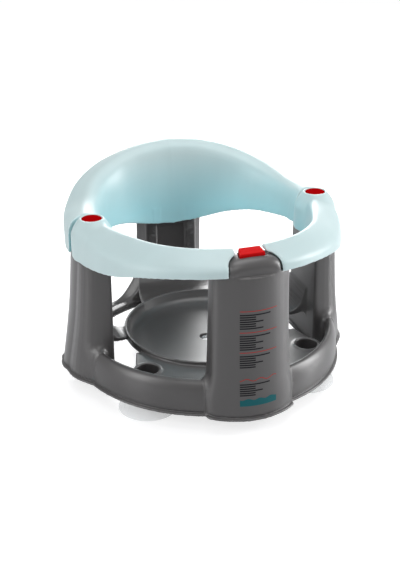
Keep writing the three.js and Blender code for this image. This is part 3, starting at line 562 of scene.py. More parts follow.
@dataclass
class RingSweep(Shape):
    """A ring whose section changes with the angle from the front, open below."""

    corners: Callable[[float], list]
    angles: Point
    rounding: float = 0.42
    inner: float = 80.0
    outer: float = 225.0
    box_steps: int = 30

    def box(self) -> Box:
        """Works the box out from sections all along the ring.

        Returns:
            Its lowest and its highest corner.
        """
        places = [p for a in np.linspace(*self.angles, self.box_steps + 1) for p in self.corners(a)]
        reach = max(radius for radius, _ in places)
        heights = [height for _, height in places]
        return (-reach, -reach, min(heights) - FAR), (reach, reach, max(heights))

    def distance(self, axes: Sequence[Array]) -> Array:
        """Reads the distances from a table over angle, radius and height, a degree and a millimetre apart.

        Args:
            axes: The grid's places along x, y and z.

        Returns:
            The distances, negative inside.
        """
        x, y, z = axes
        outward = np.hypot(x[:, None], y[None, :])
        angle = np.degrees(np.arctan2(np.abs(x[:, None]), -y[None, :]))
        degrees = np.linspace(*self.angles, int(self.angles[1] - self.angles[0]) + 1)
        radii = np.arange(self.inner, self.outer, 1.0, dtype=np.float32)
        table = np.stack([self._section(d, radii, z) for d in degrees])
        place = (np.clip(angle, *self.angles) - self.angles[0]) / (degrees[1] - degrees[0])
        i = np.clip(place.astype(int), 0, len(degrees) - 2)
        across = np.clip(outward - radii[0], 0, len(radii) - 1.001)
        j = across.astype(int)
        s, t = (place - i)[:, :, None], (across - j)[:, :, None]
        near = table[i, j] * (1 - t) + table[i, j + 1] * t
        far = table[i + 1, j] * (1 - t) + table[i + 1, j + 1] * t
        return (near * (1 - s) + far * s).astype(np.float32)

    def _section(self, degrees: float, radii: Array, z: Array) -> Array:
        """Distances from one section, its two walls run on downwards.

        Args:
            degrees: The section's angle from the front.
            radii: The table's radii.
            z: The table's heights.

        Returns:
            The distances over radius and height.
        """
        corners = self.corners(degrees)
        line = softened(corners, self.rounding)
        for end, neighbour in ((0, 1), (-1, -2)):
            a, b = np.array(corners[end]), np.array(corners[neighbour])
            run = a + (a - b) / np.linalg.norm(a - b) * RUN_ON
            line = [tuple(run), *line] if end == 0 else [*line, tuple(run)]
        return outline_distance(radii[:, None], z[None, :], line)


class Moulding:
    """A solid kept as distances on an even grid."""

    def __init__(self, low: Corner, high: Corner, step: float) -> None:
        """Starts empty space.

        Args:
            low: The grid's lowest corner in millimetres.
            high: Its highest corner.
            step: The length between its places.
        """
        self.step = step
        self.low = np.array(low, dtype=float)
        count = np.ceil((np.array(high, dtype=float) - self.low) / step).astype(int) + 1
        self.axes = [(self.low[k] + step * np.arange(count[k])).astype(np.float32) for k in range(3)]
        self.values = np.full(count, FAR, dtype=np.float32)

    def window(self, low: Corner, high: Corner, margin: float) -> tuple[slice, ...]:
        """The grid's part that holds a box.

        Args:
            low: The box's lowest corner.
            high: Its highest corner.
            margin: How much more is taken all round.

        Returns:
            A slice for each axis.
        """
        spans = []
        for k in range(3):
            first = int(np.searchsorted(self.axes[k], low[k] - margin))
            last = int(np.searchsorted(self.axes[k], high[k] + margin))
            spans.append(slice(max(first - 1, 0), min(last + 1, len(self.axes[k]))))
        return tuple(spans)

    def _measured(self, shape: Shape, reach: float) -> tuple[tuple, Array]:
        """A shape's window, with room for a fillet's reach, and its distances there."""
        span = self.window(*shape.box(), reach + 2 * self.step)
        return span, shape.distance([axis[s] for axis, s in zip(self.axes, span)])

    def add(self, shape: Shape, fillet: float = 0.0) -> "Moulding":
        """Joins a shape on.

        Args:
            shape: The shape.
            fillet: How far the fillet reaches where it meets the rest.

        Returns:
            This solid.
        """
        span, values = self._measured(shape, fillet)
        self.values[span] = soft_least(self.values[span], values, fillet)
        return self

    def cut(self, shape: Shape, rounding: float = 0.0) -> "Moulding":
        """Takes a shape away.

        Args:
            shape: The shape.
            rounding: How far the new edges are rounded.

        Returns:
            This solid.
        """
        span, values = self._measured(shape, rounding)
        self.values[span] = soft_most(self.values[span], -values, rounding)
        return self

    def keep(self, distance: Array, rounding: float = 0.0) -> "Moulding":
        """Keeps what lies on the negative side of a distance over the whole grid."""
        self.values = soft_most(self.values, distance.astype(np.float32), rounding)
        return self

    def join(self, other: "Moulding", fillet: float = 0.0) -> "Moulding":
        """Joins a solid on the same grid."""
        self.values = soft_least(self.values, other.values, fillet)
        return self

    def emptied(self) -> "Moulding":
        """Empty space on the same grid."""
        other = Moulding.__new__(Moulding)
        other.step, other.low, other.axes = self.step, self.low, self.axes
        other.values = np.full_like(self.values, FAR)
        return other

    def height(self) -> Array:
        """Heights, shaped to spread over the grid."""
        return self.axes[2][None, None, :]

    def angle(self) -> Array:
        """Degrees from the front, the same on both hands, over the grid's plan."""
        x, y = self.axes[0][:, None], self.axes[1][None, :]
        return np.degrees(np.arctan2(np.abs(x), -y))

    def skinned(self, name: str, faces: int) -> Piece:
        """The solid's surface as a mesh object in metres.

        Args:
            name: The object's name.
            faces: The most triangles it should have.

        Returns:
            The new object, linked to the scene.
        """
        grid = openvdb.FloatGrid(FAR)
        grid.copyFromArray(np.clip(self.values, -FAR, FAR))
        points, triangles, quads = grid.convertToPolygons(isovalue=0.0, adaptivity=0.0)
        places = (points * self.step + self.low) * MM
        loops = [tuple(map(int, q)) for q in quads] + [tuple(map(int, t)) for t in triangles]
        mesh = bpy.data.meshes.new(name)
        mesh.from_pydata(places.tolist(), [], loops)
        piece = linked(mesh)
        thin(piece, faces)
        piece.data.shade_smooth()
        return piece


# Meshes


def linked(mesh: bpy.types.Mesh) -> Piece:
    """A new object for a mesh, in the scene.

    Args:
        mesh: The mesh, whose name the object takes.

    Returns:
        The object.
    """
    piece = bpy.data.objects.new(mesh.name, mesh)
    bpy.context.scene.collection.objects.link(piece)
    return piece


def meshed(shape: bmesh.types.BMesh, name: str) -> Piece:
    """A smooth object from what was drawn, which is freed.

    Args:
        shape: The drawn vertices and faces.
        name: The object's name.

    Returns:
        The new object.
    """
    mesh = bpy.data.meshes.new(name)
    shape.to_mesh(mesh)
    shape.free()
    mesh.shade_smooth()
    return linked(mesh)


def walls(shape: bmesh.types.BMesh, rows: Sequence[list], steps: int) -> None:
    """Draws closed bands of faces between rows of vertices.

    Args:
        shape: What is drawn in.
        rows: The rows, each of as many vertices as there are steps, or of one.
        steps: Faces round a band.
    """
    for low, high in zip(rows, rows[1:]):
        for i in range(steps):
            k = (i + 1) % steps
            corners = [low[i % len(low)], low[k % len(low)], high[k % len(high)], high[i % len(high)]]
            corners = list(dict.fromkeys(corners))
            if len(corners) > 2:
                shape.faces.new(corners)


def applied(piece: Piece) -> Piece:
    """Makes a piece's modifiers part of its mesh.

    Args:
        piece: The piece.

    Returns:
        The same piece.
    """
    depsgraph = bpy.context.evaluated_depsgraph_get()
    mesh = bpy.data.meshes.new_from_object(piece.evaluated_get(depsgraph))
    piece.modifiers.clear()
    old = piece.data
    piece.data = mesh
    bpy.data.meshes.remove(old)
    mesh.name = piece.name
    return piece


def thin(piece: Piece, faces: int) -> None:
    """Brings a mesh down to about so many triangles, where it has more.

    Args:
        piece: The piece.
        faces: How many triangles it should have.
    """
    piece.data.calc_loop_triangles()
    now = len(piece.data.loop_triangles)
    if now > faces:
        modifier = piece.modifiers.new("fewer", "DECIMATE")
        modifier.ratio = faces / now
        applied(piece)


def turned_piece(
    name: str, outline: Outline, at: Point, steps: int = 72, edge: float = 0.3, sharp: float = 40.0
) -> Piece:
    """A mesh turned about an upright axis, with its sharp edges bevelled.

    Args:
        name: The object's name.
        outline: (radius, height) points in millimetres. A radius of zero closes an end.
        at: The axis in x and y.
        steps: Faces round the axis.
        edge: The bevel's width in millimetres.
        sharp: The angle in degrees from which an edge is bevelled.

    Returns:
        The new object.
    """
    shape = bmesh.new()
    rows = []
    for radius, height in outline:
        row = []
        for i in range(1 if radius < ON_AXIS else steps):
            angle = 2 * math.pi * i / steps
            row.append(shape.verts.new((
                (at[0] + radius * math.cos(angle)) * MM,
                (at[1] + radius * math.sin(angle)) * MM,
                height * MM,
            )))
        rows.append(row)
    if outline[0][0] > ON_AXIS:
        rows.append(rows[0])
    walls(shape, rows, steps)
    bmesh.ops.recalc_face_normals(shape, faces=shape.faces)
    piece = meshed(shape, name)
    edges = piece.modifiers.new("edges", "BEVEL")
    edges.width, edges.segments, edges.limit_method = edge * MM, 2, "ANGLE"
    edges.angle_limit = math.radians(sharp)
    edges.harden_normals = True
    return applied(piece)


# Finishes

# The two kinds of socket that a group has
NUMBER = "NodeSocketFloat"
COLOUR = "NodeSocketColor"


def linear(colour: Rgb) -> tuple[float, float, float, float]:
    """A screen colour of 0 to 255 as the linear values that a shader takes."""
    parts = [c / 255 for c in colour]
    return (*[c / 12.92 if c <= 0.04045 else ((c + 0.055) / 1.055) ** 2.4 for c in parts], 1.0)


class Graph:
    """Short calls that build a node tree."""

    def __init__(self, tree: Tree) -> None:
        """Takes the tree to build in."""
        self.tree = tree

    def node(self, kind: str, settings: dict | None = None, **inputs: object) -> Node:
        """Adds a node.

        Args:
            kind: The node's type.
            settings: Its properties and their values.
            **inputs: Its inputs, each a value or another node's socket.

        Returns:
            The node.
        """
        made = self.tree.nodes.new(kind)
        for key, value in (settings or {}).items():
            setattr(made, key, value)
        for key, value in inputs.items():
            self.put(made.inputs[key.replace("_", " ")], value)
        return made

    def put(self, socket: Socket, value: object) -> None:
        """Fills an input.

        Args:
            socket: The input.
            value: A socket to link in, or a plain value.
        """
        if isinstance(value, Socket):
            self.tree.links.new(value, socket)
        else:
            socket.default_value = value

    def filled(self, kind: str, settings: dict, values: Sequence[object]) -> Node:
        """Adds a node whose first inputs are given in order.

        Args:
            kind: The node's type.
            settings: Its properties and their values.
            values: A value or another node's socket for each input.

        Returns:
            The node.
        """
        made = self.node(kind, settings)
        for socket, value in zip(made.inputs, values):
            self.put(socket, value)
        return made

    def maths(self, operation: str, *values: object) -> Socket:
        """The result of one sum on values or sockets."""
        return self.filled("ShaderNodeMath", {"operation": operation}, values).outputs[0]

    def vector(self, operation: str, *values: object) -> Node:
        """The node that works out one sum on vectors."""
        return self.filled("ShaderNodeVectorMath", {"operation": operation}, values)

    def mixed(self, share: object, first: object, second: object) -> Socket:
        """Mixes two colours.

        Args:
            share: How much of the second is taken.
            first: The colour at a share of 0.
            second: The colour at a share of 1.

        Returns:
            The mixed colour's socket.
        """
        made = self.node("ShaderNodeMix", {"data_type": "RGBA", "blend_type": "MIX"})
        for index, value in ((0, share), (6, first), (7, second)):
            self.put(made.inputs[index], value)
        return made.outputs[2]

    def share(self, value: Socket, low: float, high: float) -> Socket:
        """The share, kept between 0 and 1, that a value is on its way from low to high."""
        return self.filled("ShaderNodeMapRange", {"clamp": True}, (value, low, high, 0.0, 1.0)).outputs[0]

    def seen(self, light: Node) -> Socket:
        """1 for rays from the camera, straight or through clear parts, given the light path."""
        return self.maths("MAXIMUM", light.outputs["Is Camera Ray"], light.outputs["Is Transmission Ray"])

    def blended(self, share: object, first: Node, second: Node, end: str) -> None:
        """Sends a mix of two shaders to the tree's output.

        Args:
            share: How much of the second is taken.
            first: The shader at a share of 0.
            second: The shader at a share of 1.
            end: The output node's name.
        """
        mix = self.node("ShaderNodeMixShader", Fac=share)
        self.put(mix.inputs[1], first.outputs[0])
        self.put(mix.inputs[2], second.outputs[0])
        self.put(self.tree.nodes[end].inputs[0], mix.outputs[0])


def group(name: str, inputs: dict[str, tuple[str, object]]) -> tuple:
    """An empty node group that puts out a colour, a roughness and a height.

    Args:
        name: The group's name.
        inputs: Socket name to its kind and its value.

    Returns:
        The group's tree, a Graph on it, its input node and its output node.
    """
    tree = bpy.data.node_groups.new(name, "ShaderNodeTree")
    for key, (kind, value) in inputs.items():
        tree.interface.new_socket(key, in_out="INPUT", socket_type=kind).default_value = value
    for key, kind in (("Colour", COLOUR), ("Roughness", NUMBER), ("Height", NUMBER)):
        tree.interface.new_socket(key, in_out="OUTPUT", socket_type=kind)
    graph = Graph(tree)
    return tree, graph, graph.node("NodeGroupInput"), graph.node("NodeGroupOutput")


def moulded_skin() -> Tree:
    """Builds the group for moulded plastic.

    It has painted shade: a more saturated tint low down on faces that look inwards, standing in
    for the shade there. It also has colour drift, fine grain, flow marks and rubbed edges.

    Returns:
        The group.
    """
    # Where the painted shade goes: faces that look inwards, and how low down
    looks_in, low_down = (-0.1, -0.9), (0.235, 0.165)
    sharp_edge, worn_specks = (0.505, 0.56), (0.42, 0.62)
    even, rubbed_roughness, swell_depth = 0.5, 0.2, 0.6
    broad_scale, flow_scale, speck_scale = 9.0, (30.0, 30.0, 5.0), 130.0
    inputs = {
        "Colour": (COLOUR, (0.5, 0.5, 0.5, 1)),
        "Painted Shade Colour": (COLOUR, (0.5, 0.5, 0.5, 1)),
        "Rubbed Colour": (COLOUR, (0.6, 0.6, 0.6, 1)),
        "Grain Scale": (NUMBER, 900.0),
        "Grain Depth": (NUMBER, 0.5),
        "Drift": (NUMBER, 0.1),
        "Roughness": (NUMBER, 0.35),
        "Roughness Spread": (NUMBER, 0.08),
        "Rub": (NUMBER, 0.4),
    }
    tree, graph, given, out = group("moulded skin", inputs)
    coordinates = graph.node("ShaderNodeTexCoord")
    place = coordinates.outputs["Object"]
    outwards = graph.vector("NORMALIZE", graph.vector("MULTIPLY", place, (1.0, 1.0, 0.0)).outputs[0])
    faces_out = graph.vector("DOT_PRODUCT", coordinates.outputs["Normal"], outwards.outputs[0])
    height_now = graph.node("ShaderNodeSeparateXYZ", Vector=place).outputs["Z"]
    inner = graph.share(faces_out.outputs["Value"], *looks_in)
    # Painted shade: the tint is mixed in on low, inward faces, where shade falls
    deep = graph.maths("MULTIPLY", inner, graph.share(height_now, *low_down))
    hue = graph.mixed(deep, given.outputs["Colour"], given.outputs["Painted Shade Colour"])
    grain = graph.node("ShaderNodeTexNoise", Vector=place, Scale=given.outputs["Grain Scale"], Detail=3.0)
    broad = graph.node("ShaderNodeTexNoise", Vector=place, Scale=broad_scale, Detail=2.0)
    stretched = graph.node("ShaderNodeMapping", Vector=place, Scale=flow_scale)
    flow = graph.node("ShaderNodeTexNoise", Vector=stretched.outputs[0], Scale=1.0, Detail=2.0)
    specks = graph.node("ShaderNodeTexNoise", Vector=place, Scale=speck_scale, Detail=4.0)
    edge = graph.share(graph.node("ShaderNodeNewGeometry").outputs["Pointiness"], *sharp_edge)
    worn = graph.share(specks.outputs[0], *worn_specks)
    rub = graph.maths("MULTIPLY", graph.maths("MULTIPLY", edge, worn), given.outputs["Rub"])
    broad_part = graph.maths("SUBTRACT", broad.outputs[0], even)
    flow_part = graph.maths("SUBTRACT", flow.outputs[0], even)
    drift = graph.maths("MULTIPLY", broad_part, given.outputs["Drift"])
    veil = graph.maths("MULTIPLY", flow_part, given.outputs["Drift"])
    level = graph.maths("ADD", graph.maths("ADD", drift, veil), 1.0)
    shade = graph.node("ShaderNodeHueSaturation", Color=hue, Value=level)
    spread = graph.maths("MULTIPLY", flow_part, given.outputs["Roughness Spread"])
    plain = graph.maths("ADD", given.outputs["Roughness"], spread)
    rough = graph.maths("ADD", plain, graph.maths("MULTIPLY", rub, rubbed_roughness))
    height = graph.maths("MULTIPLY", grain.outputs[0], given.outputs["Grain Depth"])
    swell = graph.maths("ADD", height, graph.maths("MULTIPLY", broad.outputs[0], swell_depth))
    graph.put(out.inputs["Colour"], graph.mixed(rub, shade.outputs[0], given.outputs["Rubbed Colour"]))
    graph.put(out.inputs["Roughness"], rough)
    graph.put(out.inputs["Height"], swell)
    return tree


def drawn_metal() -> Tree:
    """Builds the group for small steel parts: fine lines round the part and spots of dullness.

    Returns:
        The group.
    """
    dull_colour, dull_spots, dull_roughness = linear((150, 148, 144)), (0.5, 0.7), 0.15
    line_scale, spot_scale = (60.0, 60.0, 2600.0), 220.0
    inputs = {
        "Colour": (COLOUR, (0.6, 0.6, 0.6, 1)),
        "Roughness": (NUMBER, 0.3),
        "Line Depth": (NUMBER, 0.4),
    }
    tree, graph, given, out = group("drawn metal", inputs)
    place = graph.node("ShaderNodeTexCoord").outputs["Object"]
    squeezed = graph.node("ShaderNodeMapping", Vector=place, Scale=line_scale)
    lines = graph.node("ShaderNodeTexNoise", Vector=squeezed.outputs[0], Scale=1.0, Detail=3.0)
    spots = graph.node("ShaderNodeTexNoise", Vector=place, Scale=spot_scale, Detail=5.0)
    dull = graph.share(spots.outputs[0], *dull_spots)
    rough = graph.maths("ADD", given.outputs["Roughness"], graph.maths("MULTIPLY", dull, dull_roughness))
    graph.put(out.inputs["Colour"], graph.mixed(dull, given.outputs["Colour"], dull_colour))
    graph.put(out.inputs["Roughness"], rough)
    graph.put(out.inputs["Height"], graph.maths("MULTIPLY", lines.outputs[0], given.outputs["Line Depth"]))
    return tree


def surfaced(
    name: str, skin: Tree, values: dict[str, object], depth: float
) -> tuple[bpy.types.Material, Node]:
    """A material whose colour, roughness and bumps come from a group.

    Args:
        name: The material's name.
        skin: The group, which puts out Colour, Roughness and Height.
        values: The group's inputs.
        depth: How deep the bumps are, in metres.

    Returns:
        The material and its shader.
    """
    made = bpy.data.materials.new(name)
    made.use_nodes = True
    graph = Graph(made.node_tree)
    shader = made.node_tree.nodes["Principled BSDF"]
    placed = graph.node("ShaderNodeGroup", {"node_tree": skin})
    for key, value in values.items():
        placed.inputs[key].default_value = value
    bump = graph.node("ShaderNodeBump", Height=placed.outputs["Height"], Distance=depth, Strength=1.0)
    graph.put(shader.inputs["Base Color"], placed.outputs["Colour"])
    graph.put(shader.inputs["Roughness"], placed.outputs["Roughness"])
    graph.put(shader.inputs["Normal"], bump.outputs[0])
    return made, shader


@dataclass(frozen=True)
class Plastic:
    """A moulded plastic finish."""

    name: str
    colour: Rgb
    rubbed: Rgb
    roughness: float = 0.35
    spread: float = 0.08
    grain_scale: float = 1400.0
    grain_depth: float = 0.5
    drift: float = 0.12
    rub: float = 0.4
    bump: float = 0.00002
    depth_light: float = 0.0
    light_reach: float = 0.006
    coat: float = 0.0
    coat_roughness: float = 0.36
    veil: float = 1.0
    shine: float = 0.5
    refraction: float = 1.48
    # The colour of the painted shade on low, inward faces; None gives none
    deep: Rgb | None = None

    def material(self, skin: Tree) -> bpy.types.Material:
        """Makes the material.

        Args:
            skin: The shared group for moulded plastic.

        Returns:
            The material.
        """
        values = {
            "Colour": linear(self.colour), "Rubbed Colour": linear(self.rubbed),
            "Painted Shade Colour": linear(self.deep or self.colour),
            "Grain Scale": self.grain_scale, "Grain Depth": self.grain_depth, "Drift": self.drift,
            "Roughness": self.roughness, "Roughness Spread": self.spread, "Rub": self.rub,
        }
        made, shader = surfaced(self.name, skin, values, self.bump)
        for key, value in {
            "Subsurface Weight": self.depth_light, "Subsurface Radius": (1.0, 1.0, 1.0),
            "Subsurface Scale": self.light_reach, "Coat Weight": self.coat,
            "Coat Roughness": self.coat_roughness, "Alpha": self.veil,
            "Specular IOR Level": self.shine, "IOR": self.refraction,
        }.items():
            shader.inputs[key].default_value = value
        return made


@dataclass(frozen=True)
class Steel:
    """A plain or plated steel finish."""

    name: str
    colour: Rgb
    roughness: float = 0.3
    bump: float = 0.00001

    def material(self, lines: Tree) -> bpy.types.Material:
        """Makes the material.

        Args:
            lines: The shared group for drawn metal.

        Returns:
            The material.
        """
        values = {"Colour": linear(self.colour), "Roughness": self.roughness}
        made, shader = surfaced(self.name, lines, values, self.bump)
        shader.inputs["Metallic"].default_value = 1.0
        return made


class Finishes:
    """Every finish of the seat, by the record's slot names."""

    def __init__(self) -> None:
        """Builds the shared groups and one material for each finish."""
        skin, lines = moulded_skin(), drawn_metal()
        plastics = (
            Plastic("grey_plastic", (57, 55, 55), (104, 103, 103), roughness=0.42, drift=0.1, coat=0.8),
            # The aqua's second colour is painted shade for its low, inward faces
            Plastic("aqua_plastic", (183, 202, 203), (204, 218, 219), roughness=0.42, drift=0.1,
                    rub=0.25, depth_light=0.35, deep=(172, 224, 232), coat=0.2),
            Plastic("red_plastic", (196, 8, 12), (206, 40, 38), roughness=0.42, rub=0.2, shine=0.1),
            # The caps' red: a darker copy of red_plastic without shine, painted shade for caps that face the
            # top lamp
            Plastic("red_plastic_deep", (150, 5, 8), (170, 30, 30), roughness=0.5, rub=0.15, shine=0.0),
            Plastic("white_plastic", (225, 225, 220), (240, 240, 236), roughness=0.45),
            Plastic("clear_soft", (236, 240, 242), (246, 248, 249), roughness=0.3, rub=0.1, veil=0.24),
            Plastic("ink_dark", (12, 13, 18), (30, 30, 36), roughness=0.6, rub=0.1, shine=0.2),
            Plastic("ink_red", (158, 44, 38), (176, 80, 74), roughness=0.6, rub=0.1, shine=0.2),
            Plastic("ink_teal", (18, 86, 92), (60, 120, 122), roughness=0.6, rub=0.1, shine=0.2),
        )
        self.by_name = {finish.name: finish.material(skin) for finish in plastics}
        steel = Steel("steel", (196, 197, 200))
        self.by_name[steel.name] = steel.material(lines)

    def dress(self, piece: Piece, name: str) -> Piece:
        """Gives a piece one finish.

        Args:
            piece: The piece.
            name: The finish.

        Returns:
            The same piece.
        """
        piece.data.materials.clear()
        piece.data.materials.append(self.by_name[name])
        return piece


def put_in(piece: Piece, body: Body, *nodes: str) -> Piece:
    """Lets a piece ride on a body, and reports it.

    Args:
        piece: The piece.
        body: The body.
        *nodes: The CAD nodes that it takes the place of.

    Returns:
        The same piece.
    """
    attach(piece, body.value)
    if nodes:
        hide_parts(*nodes)
    LOG.info("%s rides on %s, %d faces", piece.name, body.value, len(piece.data.polygons))
    return piece


# Sub-assemblies


@dataclass
class Head:
    """The domed head on the front column, which the gates close round.

    Rows of the nose are how far behind the face and how far below the crest it is, as shares.
    """

    half_width: float = 33.3
    foot: float = 195.0
    height: float = 22.5
    front: float = 176.0
    shoulder: float = 24.0
    back: float = 138.0
    power: float = 2.5
    bow: float = 8.0
    bow_reach: float = 45.0
    margin: float = 20.0
    overrun: float = 1.0
    sunk: float = 3.0
    cut_sunk: float = 25.0
    rounding: float = 11.0
    cut_rounding: float = 10.0
    arch_steps: int = 48
    nose_steps: int = 24
    plan_steps: int = 24
    nose_crowding: float = 1.6
    nose: tuple = ((1, 0), (0.66, 0.04), (0.38, 0.17), (0.14, 0.42), (0.03, 0.72), (0, 1))

    def solid(self, grow: float = 0.0, run_back: float = 0.0) -> Crossed:
        """The head as the space that its three views share.

        Args:
            grow: How much larger it is all round, for the room that the gates leave.
            run_back: How far it runs on behind its back.

        Returns:
            The head.
        """
        low = self.foot - (self.cut_sunk if grow else self.sunk)
        back = run_back - self.back
        return Crossed(
            plan=self._plan(grow, back),
            front=self._arch(grow, low),
            side=self._profile(grow, back, low),
            rounding=self.cut_rounding if grow else self.rounding,
        )

    def _arch(self, grow: float, low: float) -> Outline:
        """The front view: a flattened arch on straight feet.

        Args:
            grow: How much larger the head is.
            low: The height of its feet.

        Returns:
            The outline.
        """
        wide, power = self.half_width + grow, 2 / self.power
        arch = []
        for i in range(self.arch_steps + 1):
            angle = math.pi * i / self.arch_steps
            across = math.copysign(abs(math.cos(angle)) ** power, math.cos(angle))
            arch.append((wide * across, self.foot + (self.height + grow) * math.sin(angle) ** power))
        return [(wide, low), *arch, (-wide, low)]

    def _profile(self, grow: float, back: float, low: float) -> Outline:
        """The side view, with its rounded nose to the front.

        Args:
            grow: How much larger the head is.
            back: The y of its back.
            low: The height of its foot.

        Returns:
            The outline.
        """
        face, foot = -self.front - grow, self.foot + grow
        knots, shares = [n[1] for n in self.nose], [n[0] for n in self.nose]
        nose = []
        for i in range(self.nose_steps + 1):
            down = (i / self.nose_steps) ** self.nose_crowding
            along = self.shoulder * smooth_at(knots, shares, down)
            nose.append((face + along, foot + self.height * (1 - down)))
        return [(back, foot + self.height), *nose, (face, low), (back, low)]

    def _plan(self, grow: float, back: float) -> Outline:
        """The plan: a bowed face, wider than the head, with a straight back.

        Args:
            grow: How much larger the head is.
            back: The y of its back.

        Returns:
            The outline.
        """
        half = self.half_width + self.margin
        places = np.linspace(-half, half, self.plan_steps + 1)
        arc = [(x, self.bow * (x / self.bow_reach) ** 2 - self.front - grow) for x in places]
        return [*arc, (half, back + self.overrun), (-half, back + self.overrun)]


@dataclass
class Ring:
    """The ring's sections, from which the gates and the backrest are made.

    A section has six corners, from its outer foot to its inner foot. Each row of a table is
    one corner, at every 15 degrees: its radius as a share of the ring's, and how far it lies
    below the crest as a share of the depth.
    """

    radius: float = 174.5
    gate_top: float = 220.5
    gate_depth: float = 50.0
    back_top: float = 253.0
    back_depth: float = 113.0
    spacing: float = 15.0
    gate_radii: tuple = (
        (1.000, 0.997, 0.985, 0.971, 0.948, 0.950, 0.968),
        (0.991, 0.988, 0.976, 0.962, 0.940, 0.938, 0.946),
        (0.905, 0.900, 0.888, 0.872, 0.854, 0.852, 0.878),
        (0.825, 0.825, 0.820, 0.796, 0.762, 0.757, 0.823),
        (0.797, 0.797, 0.792, 0.770, 0.731, 0.719, 0.742),
        (0.785, 0.785, 0.781, 0.761, 0.722, 0.702, 0.690),
    )
    gate_drops: tuple = (
        (0.486, 0.498, 0.546, 0.660, 0.870, 0.965, 1.004),
        (0.250, 0.280, 0.330, 0.380, 0.415, 0.375, 0.345),
        (0.120, 0.120, 0.130, 0.170, 0.255, 0.230, 0.110),
        (0.000, 0.000, 0.004, 0.030, 0.070, 0.110, 0.076),
        (0.070, 0.070, 0.070, 0.090, 0.140, 0.210, 0.210),
        (0.486, 0.498, 0.546, 0.660, 0.870, 0.965, 1.004),
    )
    back_radii: tuple = (
        (0.972, 0.997, 1.014, 1.032, 1.037, 1.030, 1.025),
        (0.972, 1.000, 1.043, 1.083, 1.100, 1.068, 1.050),
        (0.905, 0.934, 0.968, 1.009, 1.020, 0.990, 0.975),
        (0.837, 0.843, 0.871, 0.917, 0.934, 0.911, 0.896),
        (0.745, 0.751, 0.779, 0.814, 0.831, 0.820, 0.814),
        (0.690, 0.722, 0.745, 0.768, 0.779, 0.782, 0.782),
    )
    back_drops: tuple = (
        (0.730, 0.733, 0.768, 0.801, 0.867, 0.956, 1.000),
        (0.425, 0.458, 0.442, 0.332, 0.230, 0.142, 0.106),
        (0.342, 0.386, 0.398, 0.282, 0.168, 0.075, 0.040),
        (0.322, 0.348, 0.340, 0.250, 0.124, 0.035, 0.000),
        (0.380, 0.400, 0.400, 0.336, 0.230, 0.142, 0.115),
        (0.730, 0.733, 0.768, 0.801, 0.867, 0.956, 1.000),
    )

    def _corners(self, radii: tuple, drops: tuple, top: float, depth: float, degrees: float) -> list:
        """The six corners of a section.

        Args:
            radii: The table of radii.
            drops: The table of drops.
            top: The crest's height.
            depth: The length that the drops are shares of.
            degrees: The angle from the tables' start.

        Returns:
            The (radius, height) corners.
        """
        knots = [self.spacing * i for i in range(len(radii[0]))]
        return [
            (smooth_at(knots, r, degrees) * self.radius, top - smooth_at(knots, d, degrees) * depth)
            for r, d in zip(radii, drops)
        ]

    def gate_corners(self, degrees: float) -> list:
        """Corners of the gates' section at degrees from the front."""
        return self._corners(self.gate_radii, self.gate_drops, self.gate_top, self.gate_depth, degrees)

    def back_corners(self, degrees: float) -> list:
        """Corners of the backrest's section at degrees from the front."""
        return self._corners(self.back_radii, self.back_drops, self.back_top, self.back_depth, degrees - 90)

    def foot_height(self, corners: Callable[[float], list], degrees: Array) -> Array:
        """The height of a section's lower edge at every given angle."""
        table = np.linspace(0, 180, 121)
        return np.interp(degrees, table, [corners(float(d))[0][1] for d in table])


@dataclass
class Hinge:
    """The upright hinge between a gate and its side column."""

    place: float = PLACES.hinge
    barrel_radius: float = 25.5
    gap: float = 0.5
    swing: float = 50.0
    foot: float = 170.5
    top: float = 216.9
    cap_radius: float = 12.2
    cap_top: float = 217.2
    cap_thickness: float = 5.4
    room: float = 40.0
    barrel: tuple = ((1, 0), (1, 0.56), (0.95, 0.68), (0.83, 0.81), (0.69, 0.92), (0.56, 1))

    def barrel_solid(self, side: Side) -> Turned:
        """The gate's barrel round the pin.

        Args:
            side: The hinge's side.

        Returns:
            The barrel, run on downwards.
        """
        tall = self.top - self.foot
        line = [(self.barrel_radius * out, self.foot + tall * up) for out, up in self.barrel]
        low = self.foot - RUN_ON
        line = softened([(self.barrel_radius, low), *line], share=0.4, steps=4)
        return Turned([(0, low), *line, (0, self.top)], side.at(self.place))

    def space(self, side: Side, ring_radius: float) -> list[Shape]:
        """The room that the gate needs to turn in.

        Args:
            side: The hinge's side.
            ring_radius: The ring's radius.

        Returns:
            The shapes that make up the room.
        """
        radius = self.barrel_radius + self.gap
        angle = math.radians(self.swing)
        tangent = (self.place + radius * math.cos(angle), radius * math.sin(angle))
        reach = ring_radius - self.place + self.room
        far = (tangent[0] + reach * math.sin(angle), tangent[1] - reach * math.cos(angle))
        sweep = [(self.place, 0), (self.place, -self.room), (far[0], -self.room), far, tangent]
        plan = [side.at(x, y) for x, y in sweep]
        tall = oblong((-BEYOND, 0), (BEYOND, BEYOND))
        return [Crossed(plan=plan, front=tall), rod(radius, 0, BEYOND, side.at(self.place))]


@dataclass(frozen=True)
class Web:
    """A thin sheet from the bowl up into a column: its angle, the column's face and its own sizes."""

    degrees: float
    face: float
    waist: float
    end: float
    rise: float
    offset: float = 0.0


